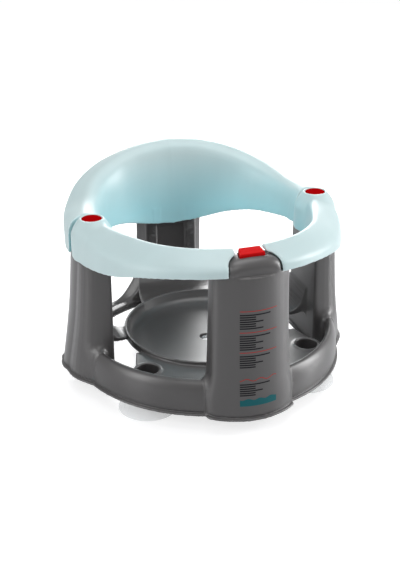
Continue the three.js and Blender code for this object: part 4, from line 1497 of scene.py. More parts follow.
@dataclass
class Base:
    """The grey moulding: rim, columns, head, bowl, plates and webs in one.

    A boss is a radius and the reach of its fillet. A hole is the heights that it starts and
    ends at.
    """

    finishes: Finishes
    head: Head
    foot: float = PLACES.foot
    wall: float = PLACES.wall
    low: Corner = (-190.0, -190.0, 13.0)
    high: Corner = (190.0, 190.0, 222.0)
    step: float = 1.25
    faces: int = 190_000
    radius: float = 165.8
    lip: float = 2.5
    lip_height: float = 3.2
    lip_rounding: float = 0.4
    groove: float = 0.9
    rim_height: float = 43.5
    rim_width: float = 14.5
    rim_fillet: float = 14.0
    rim_shares: tuple = ((0, 0.52), (0.14, 0.78), (0.40, 0.95), (0.68, 1), (0.90, 0.95), (1, 0.82))
    bar_height: float = 8.0
    bar_width: float = 10.0
    bar_fillet: float = 4.0
    head_fillet: float = 3.0
    pin_boss: tuple = (9.0, 149.7, 169.0)
    bowl_radius: float = 104.0
    bowl_rim: float = 55.0
    bowl_floor: float = 35.5
    bowl_skirt: float = 9.0
    bowl_fillet: float = 2.0
    under_share: float = 0.93
    edge_share: float = 0.9
    middle_points: int = 13
    edge_points: int = 9
    floor_shares: tuple = ((0, 0), (0.5, 0.06), (0.8, 0.2), (0.94, 0.42), (0.985, 0.72), (1, 1))
    over_bowl: float = 139.0
    under_bowl: float = -40.0
    sheet: float = 3.5
    sheet_fillet: float = 5.0
    plate_top: float = 50.0
    plate_degrees: float = 52.5
    plate_points: int = 41
    plate_corners: tuple = ((114.0, -73.0), (104.0, -39.0), (-104.0, -39.0), (-114.0, -73.0))
    web_top: float = 51.0
    web_fillet: float = 3.0
    webs: tuple[Web, ...] = (
        Web(90, PLACES.side_inner, waist=10, end=32, rise=38, offset=-17.5),
        Web(-90, PLACES.side_inner, waist=10, end=32, rise=38, offset=17.5),
        Web(180, PLACES.rear_inner, waist=60, end=44, rise=24),
    )
    boss_low: float = 24.0
    rear_boss: Point = (9.0, 3.0)
    centre_boss: Point = (11.0, 2.0)
    centre_boss_drops: Point = (6.0, 1.0)
    socket_boss: Point = (16.5, 2.5)
    socket_rise: float = 1.2
    socket_radius: float = 13.5
    socket_rounding: float = 1.6
    centre_rounding: float = 1.0
    knob_room: Point = (8.2, 2.8)
    knob_rounding: float = 0.2
    window_corner: float = 2.0
    window_rounding: float = 1.2
    latch_rounding: float = 0.8
    pin_hole: Point = (18.0, 230.0)
    screw_hole: Point = (130.0, 200.0)
    rear_screw_hole: Point = (100.0, 180.0)
    rear_neck_hole: Point = (-20.0, 39.0)
    socket_hole: Point = (27.0, 90.0)
    neck_hole: Point = (-20.0, 50.0)
    centre_hole: Point = (-20.0, 75.0)
    rear_window: tuple = ((-20.0, 110.0, 78.5), (20.0, 152.0, 133.6))
    yoke_slot: tuple = ((-33.6, -163.6, 188.5), (33.6, -152.4, 201.1))
    cover_seat: tuple = ((-24.3, -141.3, 143.7), (24.3, -98.0, 208.3))
    cover_room: tuple = ((-18.0, -148.0, 150.0), (18.0, -138.0, 202.0))
    cover_bore: Point = (-145.0, -138.0)

    def columns(self) -> list[Column]:
        """The front, side and rear columns."""
        side = {
            "foot": self.foot, "top": PLACES.side_top, "half_width": 42.5, "inner": PLACES.side_inner,
            "reach": PLACES.reach, "lean": 15.5, "narrowing": 3.5, "bow": 3, "cut_share": 0.94,
        }
        front = Column(
            0, self.foot, self.head.foot, half_width=50, inner=self.head.back, reach=PLACES.reach,
            lean=7, narrowing=4.5, bow=9,
        )
        rear = Column(
            180, self.foot, PLACES.rear_top, half_width=45, inner=PLACES.rear_inner, reach=PLACES.reach,
            lean=6, taper=9.5, flare=43,
            knots=(0, 0.035, 0.085, 0.18, 0.30, 0.42, 1), flares=(1, 0.84, 0.58, 0.33, 0.12, 0.03, 0),
        )
        return [front, Column(90, **side), Column(-90, flip=-1, **side), rear]

    def rim(self) -> Turned:
        """The front rim, run on below the foot."""
        low, inner = self.foot - RUN_ON, self.radius - self.rim_width
        crown = [
            (self.radius - self.rim_width * a, self.foot + self.rim_height * b) for a, b in self.rim_shares
        ]
        line = softened([(self.radius, self.foot), *crown, (inner, self.foot)], share=0.45, steps=5)
        return Turned([(self.radius, low), *line, (inner, low)], half=1)

    def rear_bar(self) -> Turned:
        """The low bar behind, run on below the foot."""
        inner, high = self.radius - self.bar_width, self.foot + self.bar_height
        corners = oblong((self.radius, self.foot - RUN_ON), (inner, high))
        return Turned([corners[0], corners[3], corners[2], corners[1]], half=-1)

    def shell(self) -> Moulding:
        """Rim, bar, columns and head as one shell that is open below."""
        solid = Moulding(self.low, self.high, self.step)
        for column in self.columns():
            solid.add(column)
        solid.add(self.rim(), self.rim_fillet)
        solid.add(self.rear_bar(), self.bar_fillet)
        solid.add(self.head.solid(), self.head_fillet)
        hollow = solid.values + self.wall
        height = solid.height()
        lip = np.maximum(solid.values - self.lip, height - self.foot - self.lip_height)
        over_lip = np.abs(height - self.foot - self.lip_height - self.groove) - self.groove
        groove = np.maximum(over_lip, -self.groove - solid.values)
        solid.values = soft_least(np.maximum(solid.values, -groove), lip, self.lip_rounding)
        solid.keep(self.foot - height)
        bosses = solid.emptied()
        for side in Side:
            bosses.add(rod(*self.pin_boss, side.at(PLACES.hinge)))
        hollow = np.maximum(hollow, -bosses.values)
        solid.keep(-hollow)
        return solid

    def bowl_line(self, under: float) -> list:
        """The bowl's upper surface from its middle outwards.

        Args:
            under: How far below the surface the line runs.

        Returns:
            The (radius, height) points.
        """
        inside = self.bowl_radius - self.wall
        knots = [a for a, _ in self.floor_shares]
        heights = [b for _, b in self.floor_shares]
        rise = self.bowl_rim - self.bowl_floor
        middle = np.linspace(0, self.edge_share, self.middle_points)
        shares = np.unique(np.concatenate([middle, np.linspace(self.edge_share, 1, self.edge_points)]))
        return [
            (s * inside, self.bowl_floor + smooth_at(knots, heights, float(s)) * rise - under) for s in shares
        ]

    def bowl_sides(self) -> tuple[list, list, Point]:
        """The lines that bound the bowl.

        Returns:
            Its upper surface, its under surface, and the foot of its skirt.
        """
        reach = self.under_share * self.bowl_radius
        under = [p for p in self.bowl_line(self.wall) if p[0] < reach]
        return self.bowl_line(0), under, (self.bowl_radius, self.bowl_rim - self.bowl_skirt)

    def bowl(self) -> Turned:
        """The seat bowl with its short skirt."""
        upper, under, skirt = self.bowl_sides()
        return Turned([*upper, (self.bowl_radius, self.bowl_rim), skirt, *reversed(under)])

    def plate(self) -> Crossed:
        """The thin plate between the front rim and the bowl."""
        outer, half = self.radius - self.rim_width / 2, math.radians(self.plate_degrees)
        angles = np.linspace(-half, half, self.plate_points)
        arc = [(outer * math.sin(a), -outer * math.cos(a)) for a in angles]
        front = oblong((-BEYOND, self.plate_top - self.sheet), (BEYOND, self.plate_top))
        return Crossed(plan=[*arc, *self.plate_corners], front=front)

    def web(self, web: Web) -> Crossed:
        """A thin web from the bowl that curves up into a column.

        Args:
            web: Its sizes.

        Returns:
            The web.
        """
        near, far = self.bowl_radius / 2, web.face + self.wall / 2
        middle = (self.bowl_radius + web.face) / 2
        low, top = self.web_top - self.sheet, self.web_top
        left, right = web.offset - web.waist, web.offset + web.waist
        plan = [(left, near), *bend((left, near), (left, middle), (web.offset - web.end, far))]
        plan += [(web.offset + web.end, far)]
        plan += bend(plan[-1], (right, middle), (right, near))
        side = [(near, low), (self.bowl_radius, low)]
        side += bend(side[-1], (web.face, low), (far, low + web.rise / 2), steps=12)
        side += [(far, top + web.rise), (web.face, top + web.rise)]
        side += bend(side[-1], (web.face - self.sheet, top), (self.bowl_radius, top), steps=12)
        side.append((near, top))
        return Crossed(plan=plan, side=side, degrees=web.degrees - 180)

    def sheets(self, like: Moulding) -> Moulding:
        """Plate and webs, cleared from over and under the bowl.

        Args:
            like: The moulding whose grid is used.

        Returns:
            The sheets as a solid of their own.
        """
        solid = like.emptied().add(self.plate())
        for web in self.webs:
            solid.add(self.web(web), self.web_fillet)
        upper, under, skirt = self.bowl_sides()
        inside = self.bowl_radius - self.wall
        solid.cut(Turned([*upper, (inside, self.over_bowl), (0, self.over_bowl)]))
        return solid.cut(Turned([*under, skirt, (self.bowl_radius, self.under_bowl), (0, self.under_bowl)]))

    def holes(self) -> Iterator[tuple]:
        """Goes through the holes for pins, screws, necks, the latch and its cover.

        Yields:
            Each hole, and how far its edge is rounded where it is.
        """
        neck = PLACES.neck_radius + PLACES.fit
        screw = PLACES.screw_radius + PLACES.fit
        for side in Side:
            yield rod(PLACES.pin_radius + PLACES.slide, *self.pin_hole, side.at(PLACES.hinge)),
            yield rod(screw, *self.screw_hole, side.at(*PLACES.screw)),
            yield rod(screw, *self.rear_screw_hole, side.at(*PLACES.rear_screw)),
        yield rod(neck, *self.rear_neck_hole, PLACES.rear_cup),
        for side in Side:
            at = side.at(*PLACES.front_cup)
            yield rod(self.socket_radius, *self.socket_hole, at), self.socket_rounding
            yield rod(neck, *self.neck_hole, at),
        yield rod(neck, *self.centre_hole), self.centre_rounding
        radius, down = self.knob_room
        yield rod(radius, self.bowl_floor - down, self.centre_hole[1]), self.knob_rounding
        yield block(*self.rear_window, self.window_corner), self.window_rounding
        yield Latch.hole(), self.latch_rounding
        yield block(*self.yoke_slot),
        yield block(*self.cover_seat),
        yield block(*self.cover_room),
        for height in PLACES.cover_screws:
            yield level_bore(PLACES.cover_screw_radius + PLACES.fit, height, *self.cover_bore, 16),

    def build(self) -> Piece:
        """Makes the moulding and puts it in the frame."""
        solid = self.shell()
        sheets = self.sheets(solid)
        sheets.join(solid.emptied().add(self.bowl()), self.bowl_fillet)
        solid.join(sheets, self.sheet_fillet)
        radius, fillet = self.rear_boss
        solid.add(rod(radius, self.boss_low, self.web_top, PLACES.rear_cup), fillet)
        low, high = (self.bowl_floor - drop for drop in self.centre_boss_drops)
        radius, fillet = self.centre_boss
        solid.add(rod(radius, low, high), fillet)
        radius, fillet = self.socket_boss
        socket_top = self.plate_top + self.socket_rise
        for side in Side:
            solid.add(rod(radius, self.boss_low, socket_top, side.at(*PLACES.front_cup)), fillet)
        for hole in self.holes():
            solid.cut(*hole)
        piece = solid.skinned("seat_base", self.faces)
        return put_in(self.finishes.dress(piece, "grey_plastic"), Body.SEAT, "base")


@dataclass
class Gate:
    """One of the two gates of the ring, a shell open below with a barrel on its pin."""

    finishes: Finishes
    ring: Ring
    hinge: Hinge
    head: Head
    side: Side
    wall: float = PLACES.wall
    end: float = 17.5
    across: Point = (10.0, 174.0)
    along: Point = (-182.0, 32.0)
    heights: Point = (160.0, 224.0)
    step: float = 1.1
    faces: int = 90_000
    barrel_fillet: float = 7.0
    head_run_back: float = 60.0
    head_rounding: float = 3.5
    end_rounding: float = 2.0
    foot_rounding: float = 0.6
    inner_rounding: float = 0.5
    hub_fillet: float = 1.0
    seat_rounding: float = 0.8
    hub: tuple = ((12.0, 170.5, 175.4), (9.0, 170.5, 217.2), (15.2, 202.8, 217.2))
    pin_hole: Point = (100.0, 250.0)
    cap_seat: Point = (208.2, 250.0)
    washer_room: Point = (150.0, 172.4)

    def _turning_room(self, like: Moulding) -> Array:
        """Distances from the room that the hinge end turns in: a circle round the pin, open forwards.

        Args:
            like: The moulding whose grid is used.

        Returns:
            The distances over its plan.
        """
        x, y, _ = like.axes
        across = self.side.value * x[:, None, None] - self.hinge.place
        along = y[None, :, None]
        circle_distance = np.hypot(across, along) - self.hinge.barrel_radius
        return np.minimum(circle_distance, np.maximum(along, across - self.hinge.barrel_radius))

    def _hub(self, like: Moulding) -> Moulding:
        """The solid middle of the barrel, round the pin.

        Args:
            like: The moulding whose grid is used.

        Returns:
            The hub.
        """
        hub = like.emptied()
        for radius, low, high in self.hub:
            hub.add(rod(radius, low, high, self.side.at(self.hinge.place)))
        return hub.keep(self.hinge.barrel_solid(self.side).distance(hub.axes))

    def build(self) -> Piece:
        """Makes the gate and puts it in the frame."""
        x, at = self.side.value, self.side.at(self.hinge.place)
        left, right = sorted(x * place for place in self.across)
        low, high = zip((left, right), self.along, self.heights)
        solid = Moulding(low, high, self.step)
        solid.add(RingSweep(self.ring.gate_corners, (0, 90)))
        solid.keep(solid.axes[1][None, :, None])
        solid.add(self.hinge.barrel_solid(self.side), self.barrel_fillet)
        solid.keep(self._turning_room(solid))
        solid.cut(self.head.solid(self.hinge.gap, run_back=self.head_run_back), self.head_rounding)
        solid.keep(self.end - x * solid.axes[0][:, None, None], self.end_rounding)
        hollow = solid.values + self.wall
        foot = self.ring.foot_height(self.ring.gate_corners, np.clip(solid.angle(), 0, 90))
        solid.keep(foot[:, :, None] - solid.height(), self.foot_rounding)
        solid.keep(-hollow, self.inner_rounding)
        solid.join(self._hub(solid), self.hub_fillet)
        solid.cut(rod(PLACES.pin_radius + PLACES.slide, *self.pin_hole, at))
        solid.cut(rod(self.hinge.cap_radius + PLACES.fit, *self.cap_seat, at), self.seat_rounding)
        solid.cut(rod(PLACES.washer_radius + PLACES.fit, *self.washer_room, at))
        piece = solid.skinned(f"ring_gate_{self.side.word}", self.faces)
        return put_in(self.finishes.dress(piece, "aqua_plastic"), self.side.gate, f"gate_{self.side.word}")


@dataclass
class Backrest:
    """The fixed rear half of the ring."""

    finishes: Finishes
    ring: Ring
    hinge: Hinge
    wall: float = PLACES.wall
    low: Corner = (-190.0, -4.0, 134.0)
    high: Corner = (190.0, 190.0, 256.0)
    step: float = 1.25
    faces: int = 150_000
    rounding: float = 0.8
    inner_rounding: float = 0.5
    rib_fillet: float = 1.0
    rib_low: float = 100.0
    side_rib: Point = (24.0, 34.0)
    side_rib_top: float = 193.7
    rear_rib: Point = (100.0, 200.0)
    rear_rib_half: float = 5.0
    rear_rib_top: float = 163.6
    screw_hole_tops: Point = (188.7, 158.6)

    def _ribs(self, like: Moulding) -> Moulding:
        """The ribs that stand on the columns, round the screws.

        Args:
            like: The moulding whose grid is used.

        Returns:
            The ribs as a solid of their own.
        """
        ribs = like.emptied()
        for side in Side:
            ends = (self.hinge.place - self.hinge.barrel_radius, self.ring.radius)
            left, right = sorted(side.value * place for place in ends)
            near, far = self.side_rib
            ribs.add(block((left, near, self.rib_low), (right, far, self.side_rib_top)))
            x = side.value * PLACES.rear_screw[0]
            near, far = self.rear_rib
            low, high = (x - self.rear_rib_half, near), (x + self.rear_rib_half, far)
            ribs.add(block((*low, self.rib_low), (*high, self.rear_rib_top)))
        return ribs

    def build(self) -> Piece:
        """Makes the backrest and puts it in the frame."""
        solid = Moulding(self.low, self.high, self.step)
        solid.add(RingSweep(self.ring.back_corners, (90, 180)))
        solid.keep(-solid.axes[1][None, :, None])
        for side in Side:
            for shape in self.hinge.space(side, self.ring.radius):
                solid.cut(shape, self.rounding)
        outer = solid.values.copy()
        foot = self.ring.foot_height(self.ring.back_corners, np.clip(solid.angle(), 90, 180))
        solid.keep(foot[:, :, None] - solid.height(), self.rounding)
        solid.keep(-outer - self.wall, self.inner_rounding)
        ribs = self._ribs(solid).keep(outer).keep(foot[:, :, None] - solid.height())
        solid.join(ribs, self.rib_fillet)
        for side in Side:
            for place, top in zip((PLACES.screw, PLACES.rear_screw), self.screw_hole_tops):
                solid.cut(rod(PLACES.screw_radius + PLACES.fit, self.rib_low, top, side.at(*place)))
        piece = solid.skinned("ring_backrest", self.faces)
        return put_in(self.finishes.dress(piece, "aqua_plastic"), Body.SEAT, "backrest")


@dataclass
class Latch:
    """The red push button in the head. The yoke under it stays as packed."""

    finishes: Finishes
    back: float = 144.0
    crest: float = 147.0
    front: float = 159.0
    half_width: float = 12.3
    spread: float = 2.7
    skirt: float = 202.0
    top: float = 220.4
    nose: float = 217.2
    rounding: float = 1.6
    low: Corner = (-18.0, -164.0, 192.0)
    high: Corner = (18.0, -140.0, 223.0)
    step: float = 0.5
    faces: int = 20_000
    stem: tuple = ((-8.0, -160.5, 194.3), (8.0, -153.0, 205.0))
    stem_fillet: float = 0.6

    @classmethod
    def plan(cls, grow: float = 0.0) -> Outline:
        """The button from above, wider at the front.

        Args:
            grow: How much larger it is all round.

        Returns:
            The outline.
        """
        near, far = cls.half_width + grow, cls.half_width + grow + cls.spread
        back, front = grow - cls.back, -cls.front - grow
        return [(near, back), (-near, back), (-far, front), (far, front)]

    @classmethod
    def hole(cls) -> Crossed:
        """The hole that the head leaves for the button."""
        return Crossed(plan=cls.plan(PLACES.fit), front=oblong((-BEYOND, Head.foot), (BEYOND, BEYOND)))

    def build(self) -> Piece:
        """Makes the button and dresses the yoke."""
        solid = Moulding(self.low, self.high, self.step)
        side = [
            (-self.back, self.skirt), (-self.back, self.nose), (-self.crest, self.top),
            (-self.front, self.nose), (-self.front, self.skirt),
        ]
        solid.add(Crossed(plan=self.plan(), side=side, rounding=self.rounding))
        solid.add(block(*self.stem), self.stem_fillet)
        piece = solid.skinned("push_button", self.faces)
        self.finishes.dress(piece, "red_plastic")
        self.finishes.dress(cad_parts["latch_yoke"], "white_plastic")
        return put_in(piece, Body.LATCH, "latch_button")


@dataclass
class LatchSpring:
    """The coil spring between the cover's shelf and the yoke, built at one length, which rides on the latch.
    """

    finishes: Finishes
    place: float = -158.0
    radius: float = 5.5
    wire: float = 0.8
    low: float = 165.1
    high: float = 186.9
    close_pitch: float = 1.7
    turns: int = 7
    turn_steps: int = 24
    wire_steps: int = 10
    travel: float = 4.0

    def _heights(self) -> Array:
        """The wire's height at every step, with one close turn at each end."""
        steps = self.turns * self.turn_steps
        knots = (0, 1, self.turns - 1, self.turns)
        levels = (self.low, self.low + self.close_pitch, self.high - self.close_pitch, self.high)
        return np.interp(np.arange(steps + 1) / self.turn_steps, knots, levels)

    def build(self) -> Piece:
        """Makes the coil, closed at both ends, and puts it in the frame."""
        shape = bmesh.new()
        rows = []
        for i, height in enumerate(self._heights()):
            turn = 2 * math.pi * i / self.turn_steps
            row = []
            for k in range(self.wire_steps):
                around = 2 * math.pi * k / self.wire_steps
                out = self.radius + self.wire * math.cos(around)
                row.append(shape.verts.new((
                    out * math.cos(turn) * MM,
                    (self.place + out * math.sin(turn)) * MM,
                    (height + self.wire * math.sin(around)) * MM,
                )))
            rows.append(row)
        walls(shape, rows, self.wire_steps)
        shape.faces.new(rows[0])
        shape.faces.new(rows[-1])
        bmesh.ops.recalc_face_normals(shape, faces=shape.faces)
        piece = self.finishes.dress(meshed(shape, "coil_spring"), "steel")
        put_in(piece, Body.LATCH, "latch_spring")
        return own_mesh(piece)


@dataclass
class HingeFittings:
    """Cap, pin, washer and nut of one hinge.

    Rows of the cap are as `scaled` takes them. Rows of the pin's head and of the nut are a
    radius and a length below the top.
    """

    finishes: Finishes
    hinge: Hinge
    side: Side
    cap_edge: float = 1.5
    cap_bend: tuple = ((1, 0, 0, -0.45), (1, -1.4, 0, -0.4))
    cap_crown: tuple = ((0.6, 0, 0, -0.15), (0.3, 0, 0, -0.04), (0, 0, 0, 0))
    pin_foot: float = 143.7
    pin_point: Point = (3.4, 0.7)
    pin_head: tuple = ((4, 3), (8, 3), (8, 1.2), (7, 0.3), (3.2, 0.3), (3.0, 1.6), (0, 1.6))
    washer: Point = (170.0, 171.9)
    nut_top: float = 149.4
    nut: tuple = ((4.1, 3), (6.2, 3), (7, 2.6), (7, 0.4), (6.2, 0), (4.1, 0))

    def _put(self, name: str, outline: Outline, steps: int, finish: str, node: str) -> None:
        """Makes one fitting and puts it in the frame.

        Args:
            name: The piece's name, without its side.
            outline: Its (radius, height) points.
            steps: Faces round it.
            finish: Its finish.
            node: The CAD node that it takes the place of, without its side.
        """
        piece = turned_piece(f"{name}_{self.side.word}", outline, self.side.at(self.hinge.place), steps)
        body = self.side.gate if node == "hinge_cap" else Body.SEAT
        put_in(self.finishes.dress(piece, finish), body, f"{node}_{self.side.word}")

    def build(self) -> None:
        """Makes the four fittings."""
        top, radius, edge = self.hinge.cap_top, self.hinge.cap_radius, self.cap_edge
        low = top - self.hinge.cap_thickness
        shoulder = (radius, top - edge)
        # The cap takes the darker copy of the red, painted shade for its top-lit face
        self._put("red_cap", [
            (0, low), (radius - edge, low), (radius, low + edge), shoulder,
            *bend(shoulder, *scaled(self.cap_bend, radius, 0, top), steps=5),
            *scaled(self.cap_crown, radius, 0, top),
        ], 96, "red_plastic_deep", "hinge_cap")
        foot, (point, chamfer), pin_top = self.pin_foot, self.pin_point, low - PLACES.fit
        self._put("steel_pin", [
            (0, foot), (point, foot), (PLACES.pin_radius, foot + chamfer),
            *[(out, pin_top - down) for out, down in self.pin_head],
        ], 48, "steel", "hinge_pin")
        hole = PLACES.pin_radius + PLACES.slide
        washer = oblong((hole, self.washer[0]), (PLACES.washer_radius, self.washer[1]))
        self._put("plain_washer", washer, 64, "white_plastic", "hinge_washer")
        nut = [(out, self.nut_top - down) for out, down in self.nut]
        self._put("steel_nut", nut, 6, "steel", "hinge_nut")


@dataclass
class Screws:
    """The screws that hold the backrest down and the cover on.

    Rows of the head are a radius and a length below the thread's start.
    """

    finishes: Finishes
    places: tuple = (("", PLACES.screw, PLACES.side_top), ("rear_", PLACES.rear_screw, PLACES.rear_top))
    head: tuple = ((0, 1.4), (1.8, 1.4), (2.0, 2.4), (3.4, 2.4), (4, 1.4), (4, 0))
    sunk: float = 3.3
    pitch: float = 1.6
    core: float = 1.6
    thread_rise: float = 0.2
    thread_end: float = 13.0
    tip: float = 16.0

    def _outline(self, top: float) -> Outline:
        """The screw from its head at the bottom to its tip.

        Args:
            top: The top of the column that it goes through.

        Returns:
            The (radius, height) points.
        """
        low = top - self.sunk
        outline = [(out, low - down) for out, down in self.head]
        while low + self.pitch < top + self.thread_end:
            outline += [(self.core, low + self.thread_rise), (PLACES.screw_radius, low + self.pitch / 2)]
            low += self.pitch
        return [*outline, (self.core, top + self.thread_end), (0, top + self.tip)]

    def build(self) -> None:
        """Makes the upright screws, and dresses the cover's screws as packed."""
        for kind, place, top in self.places:
            for side in Side:
                name = f"backrest_screw_{kind}{side.word}"
                screw = turned_piece(f"steel_{name}", self._outline(top), side.at(*place), 24)
                put_in(self.finishes.dress(screw, "steel"), Body.SEAT, name)
        for which in ("lower", "upper"):
            self.finishes.dress(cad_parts[f"cover_screw_{which}"], "steel")


@dataclass
class ColumnCover:
    """The cover on the back of the front column, with the spring's shelf.

    A bore is a radius and the y that it starts and ends at.
    """

    finishes: Finishes
    low: Corner = (-27.0, -170.0, 140.0)
    high: Corner = (27.0, -134.0, 212.0)
    step: float = 0.8
    faces: int = 30_000
    panel: tuple = ((-24.0, -141.0, 144.0), (24.0, -138.0, 208.0), 1.6)
    field: tuple = ((-20.0, -139.0, 152.0), (20.0, -130.0, 200.0), 1.0)
    field_rounding: float = 0.6
    shelf: tuple = ((-10.0, -165.0, 161.0), (10.0, -140.7, 164.0))
    shelf_fillet: float = 1.2
    spring_peg: tuple = (3.6, 161.0, 170.0, (0.0, -158.0))
    peg_fillet: float = 0.6
    bores: tuple = ((1.8, -146.0, -130.0), (2.9, -139.5, -130.0))

    def build(self) -> Piece:
        """Makes the cover with rounded edges and a shallow field."""
        solid = Moulding(self.low, self.high, self.step)
        solid.add(block(*self.panel)).cut(block(*self.field), self.field_rounding)
        solid.add(block(*self.shelf), self.shelf_fillet).add(rod(*self.spring_peg), self.peg_fillet)
        for height in PLACES.cover_screws:
            for radius, near, far in self.bores:
                solid.cut(level_bore(radius, height, near, far))
        piece = solid.skinned("rear_cover", self.faces)
        return put_in(self.finishes.dress(piece, "grey_plastic"), Body.SEAT, "column_cover")


@dataclass
class SuctionCup:
    """A clear soft cup whose neck goes up through a floor, with or without a knob.

    Rows of its outline are a share of the radius, a length, a share of the lift and a
    length. The knob's rows take its own radius and height.
    """

    finishes: Finishes
    name: str
    at: Point
    neck_top: float
    knob: bool = True
    radius: float = 36.0
    lift: float = PLACES.foot
    knob_radius: float = 8.4
    knob_height: float = 6.0
    section: tuple = (
        (0, 0, 0.667, -2.2), (0.2, -2, 0.66, -2.4), (0.36, -1, 0.5, -1), (0.6, 0, 0.28, 0),
        (0.85, 0, 0.07, 0), (1, -3, 0, 0), (1, -0.6, 0, 0), (1, 0, 0, 0.8), (0.985, 0, 0, 1.8),
        (0.86, 0, 0, 4.2), (0.66, 0, 0.42, 0), (0.44, 0, 0.58, 0), (0.3, 0, 0.66, 0),
        (0.2, 0, 0.72, 0), (0, PLACES.neck_radius, 0.82, 0),
    )
    knob_side: tuple = ((1, -0.4, 0, 0), (1, 0, 0, 0.6), (1, 0, 0.5, 0))
    knob_shoulder: tuple = ((1, -0.2, 0.93, 0), (1, -3, 1, 0))
    knob_top: tuple = ((0.4, 0, 1, 0), (0.3, 0, 0.77, 0), (0, 0, 0.73, 0))

    def outline(self) -> Outline:
        """The cup's section from the middle underneath to the middle on top."""
        top = self.neck_top + PLACES.fit
        line = [*scaled(self.section, self.radius, self.lift), (PLACES.neck_radius, top)]
        if not self.knob:
            return [*line, (0, top)]
        side, shoulder, crown = (
            scaled(rows, self.knob_radius, self.knob_height, top)
            for rows in (self.knob_side, self.knob_shoulder, self.knob_top)
        )
        return [*line, *side, *bend(side[-1], *shoulder, steps=5), *crown]

    def build(self) -> Piece:
        """Makes the cup and puts it in the frame."""
        piece = turned_piece(f"clear_{self.name}", self.outline(), self.at)
        return put_in(self.finishes.dress(piece, "clear_soft"), Body.SEAT, self.name)


@dataclass
class LevelGauge:
    """A plain printed scale on the front column: level lines, ticks, a wave and a water band.

    A section is the height of its highest tick and how many ticks it has. A wave is its
    height, its swell and how often it swells.
    """

    finishes: Finishes
    carrier: Piece
    left: float = -20.0
    right: float = 25.0
    lift: float = 0.12
    start: float = 250.0
    pitch: float = 2.75
    sections: tuple = ((151.0, 7), (125.0, 7), (100.0, 6), (64.5, 6))
    ticks: tuple = (36.0, 18.0, 18.0, 27.0, 18.0, 18.0, 27.0)
    tick_width: float = 1.5
    rule_over: float = 4.5
    rule_width: float = 0.8
    wave: tuple = (70.0, 1.4, 2.5)
    wave_length: float = 21.0
    wave_points: int = 41
    line_points: int = 15
    water: tuple = ((38.0, 0.0, 3.0), (40.0, 0.3, 3.0), (42.0, 0.6, 3.0), (44.0, 0.9, 3.0))
    water_width: float = 2.2

    def strip(self, name: str, ink: str, line: Outline, width: float) -> Piece:
        """A thin printed line laid on the column.

        Args:
            name: The piece's name.
            ink: The finish.
            line: (x, height) points along its middle, in millimetres.
            width: The line's width in millimetres.

        Returns:
            The new object.
        """
        shape = bmesh.new()
        rows = []
        for i, (x, z) in enumerate(line):
            ax, az = line[max(i - 1, 0)]
            bx, bz = line[min(i + 1, len(line) - 1)]
            length = math.hypot(bx - ax, bz - az)
            nx, nz = -(bz - az) / length, (bx - ax) / length
            spots = [self._laid(x + nx * width * share, z + nz * width * share) for share in (-0.5, 0, 0.5)]
            rows.append([shape.verts.new(spot) for spot in spots])
        for a, b in zip(rows, rows[1:]):
            for k in range(len(a) - 1):
                shape.faces.new((a[k], b[k], b[k + 1], a[k + 1]))
        return self.finishes.dress(meshed(shape, name), ink)

    def _laid(self, x: float, z: float) -> Vector:
        """The point just proud of the column at an x and a height.

        Args:
            x: The x in millimetres.
            z: The height in millimetres.

        Returns:
            The point in metres.
        """
        start = Vector((x * MM, -self.start * MM, z * MM))
        _, place, normal, _ = self.carrier.ray_cast(start, Vector((0, 1, 0)))
        return place + normal * (self.lift * MM)

    def _line(self, length: float, height: float, swell: float = 0.0, waves: float = 0.0) -> list:
        """Points of a line from the left that lies level or swells in waves."""
        points = self.wave_points if waves else self.line_points
        places = np.linspace(self.left, self.left + length, points)
        return [(x, height + swell * math.sin(x / self.wave_length * math.pi * waves)) for x in places]

    def _marks(self) -> dict[str, list]:
        """Every printed line with its width, by ink."""
        full = self.right - self.left
        dark = [
            (self._line(length, top - self.pitch * k), self.tick_width)
            for top, count in self.sections for k, length in enumerate(self.ticks[:count])
        ]
        red = [(self._line(full, top + self.rule_over), self.rule_width) for top, _ in self.sections[:-1]]
        red.append((self._line(full, *self.wave), self.rule_width))
        teal = [(self._line(full, *band), self.water_width) for band in self.water]
        return {"ink_dark": dark, "ink_red": red, "ink_teal": teal}

    def build(self) -> None:
        """Makes every mark, joined by ink, and puts them in the frame."""
        for ink, lines in self._marks().items():
            parts = [self.strip(f"{ink}_{i}", ink, line, width) for i, (line, width) in enumerate(lines)]
            with bpy.context.temp_override(active_object=parts[0], selected_editable_objects=parts):
                bpy.ops.object.join()
            parts[0].name = f"level_gauge_{ink}"
            put_in(parts[0], Body.SEAT)


# Studio


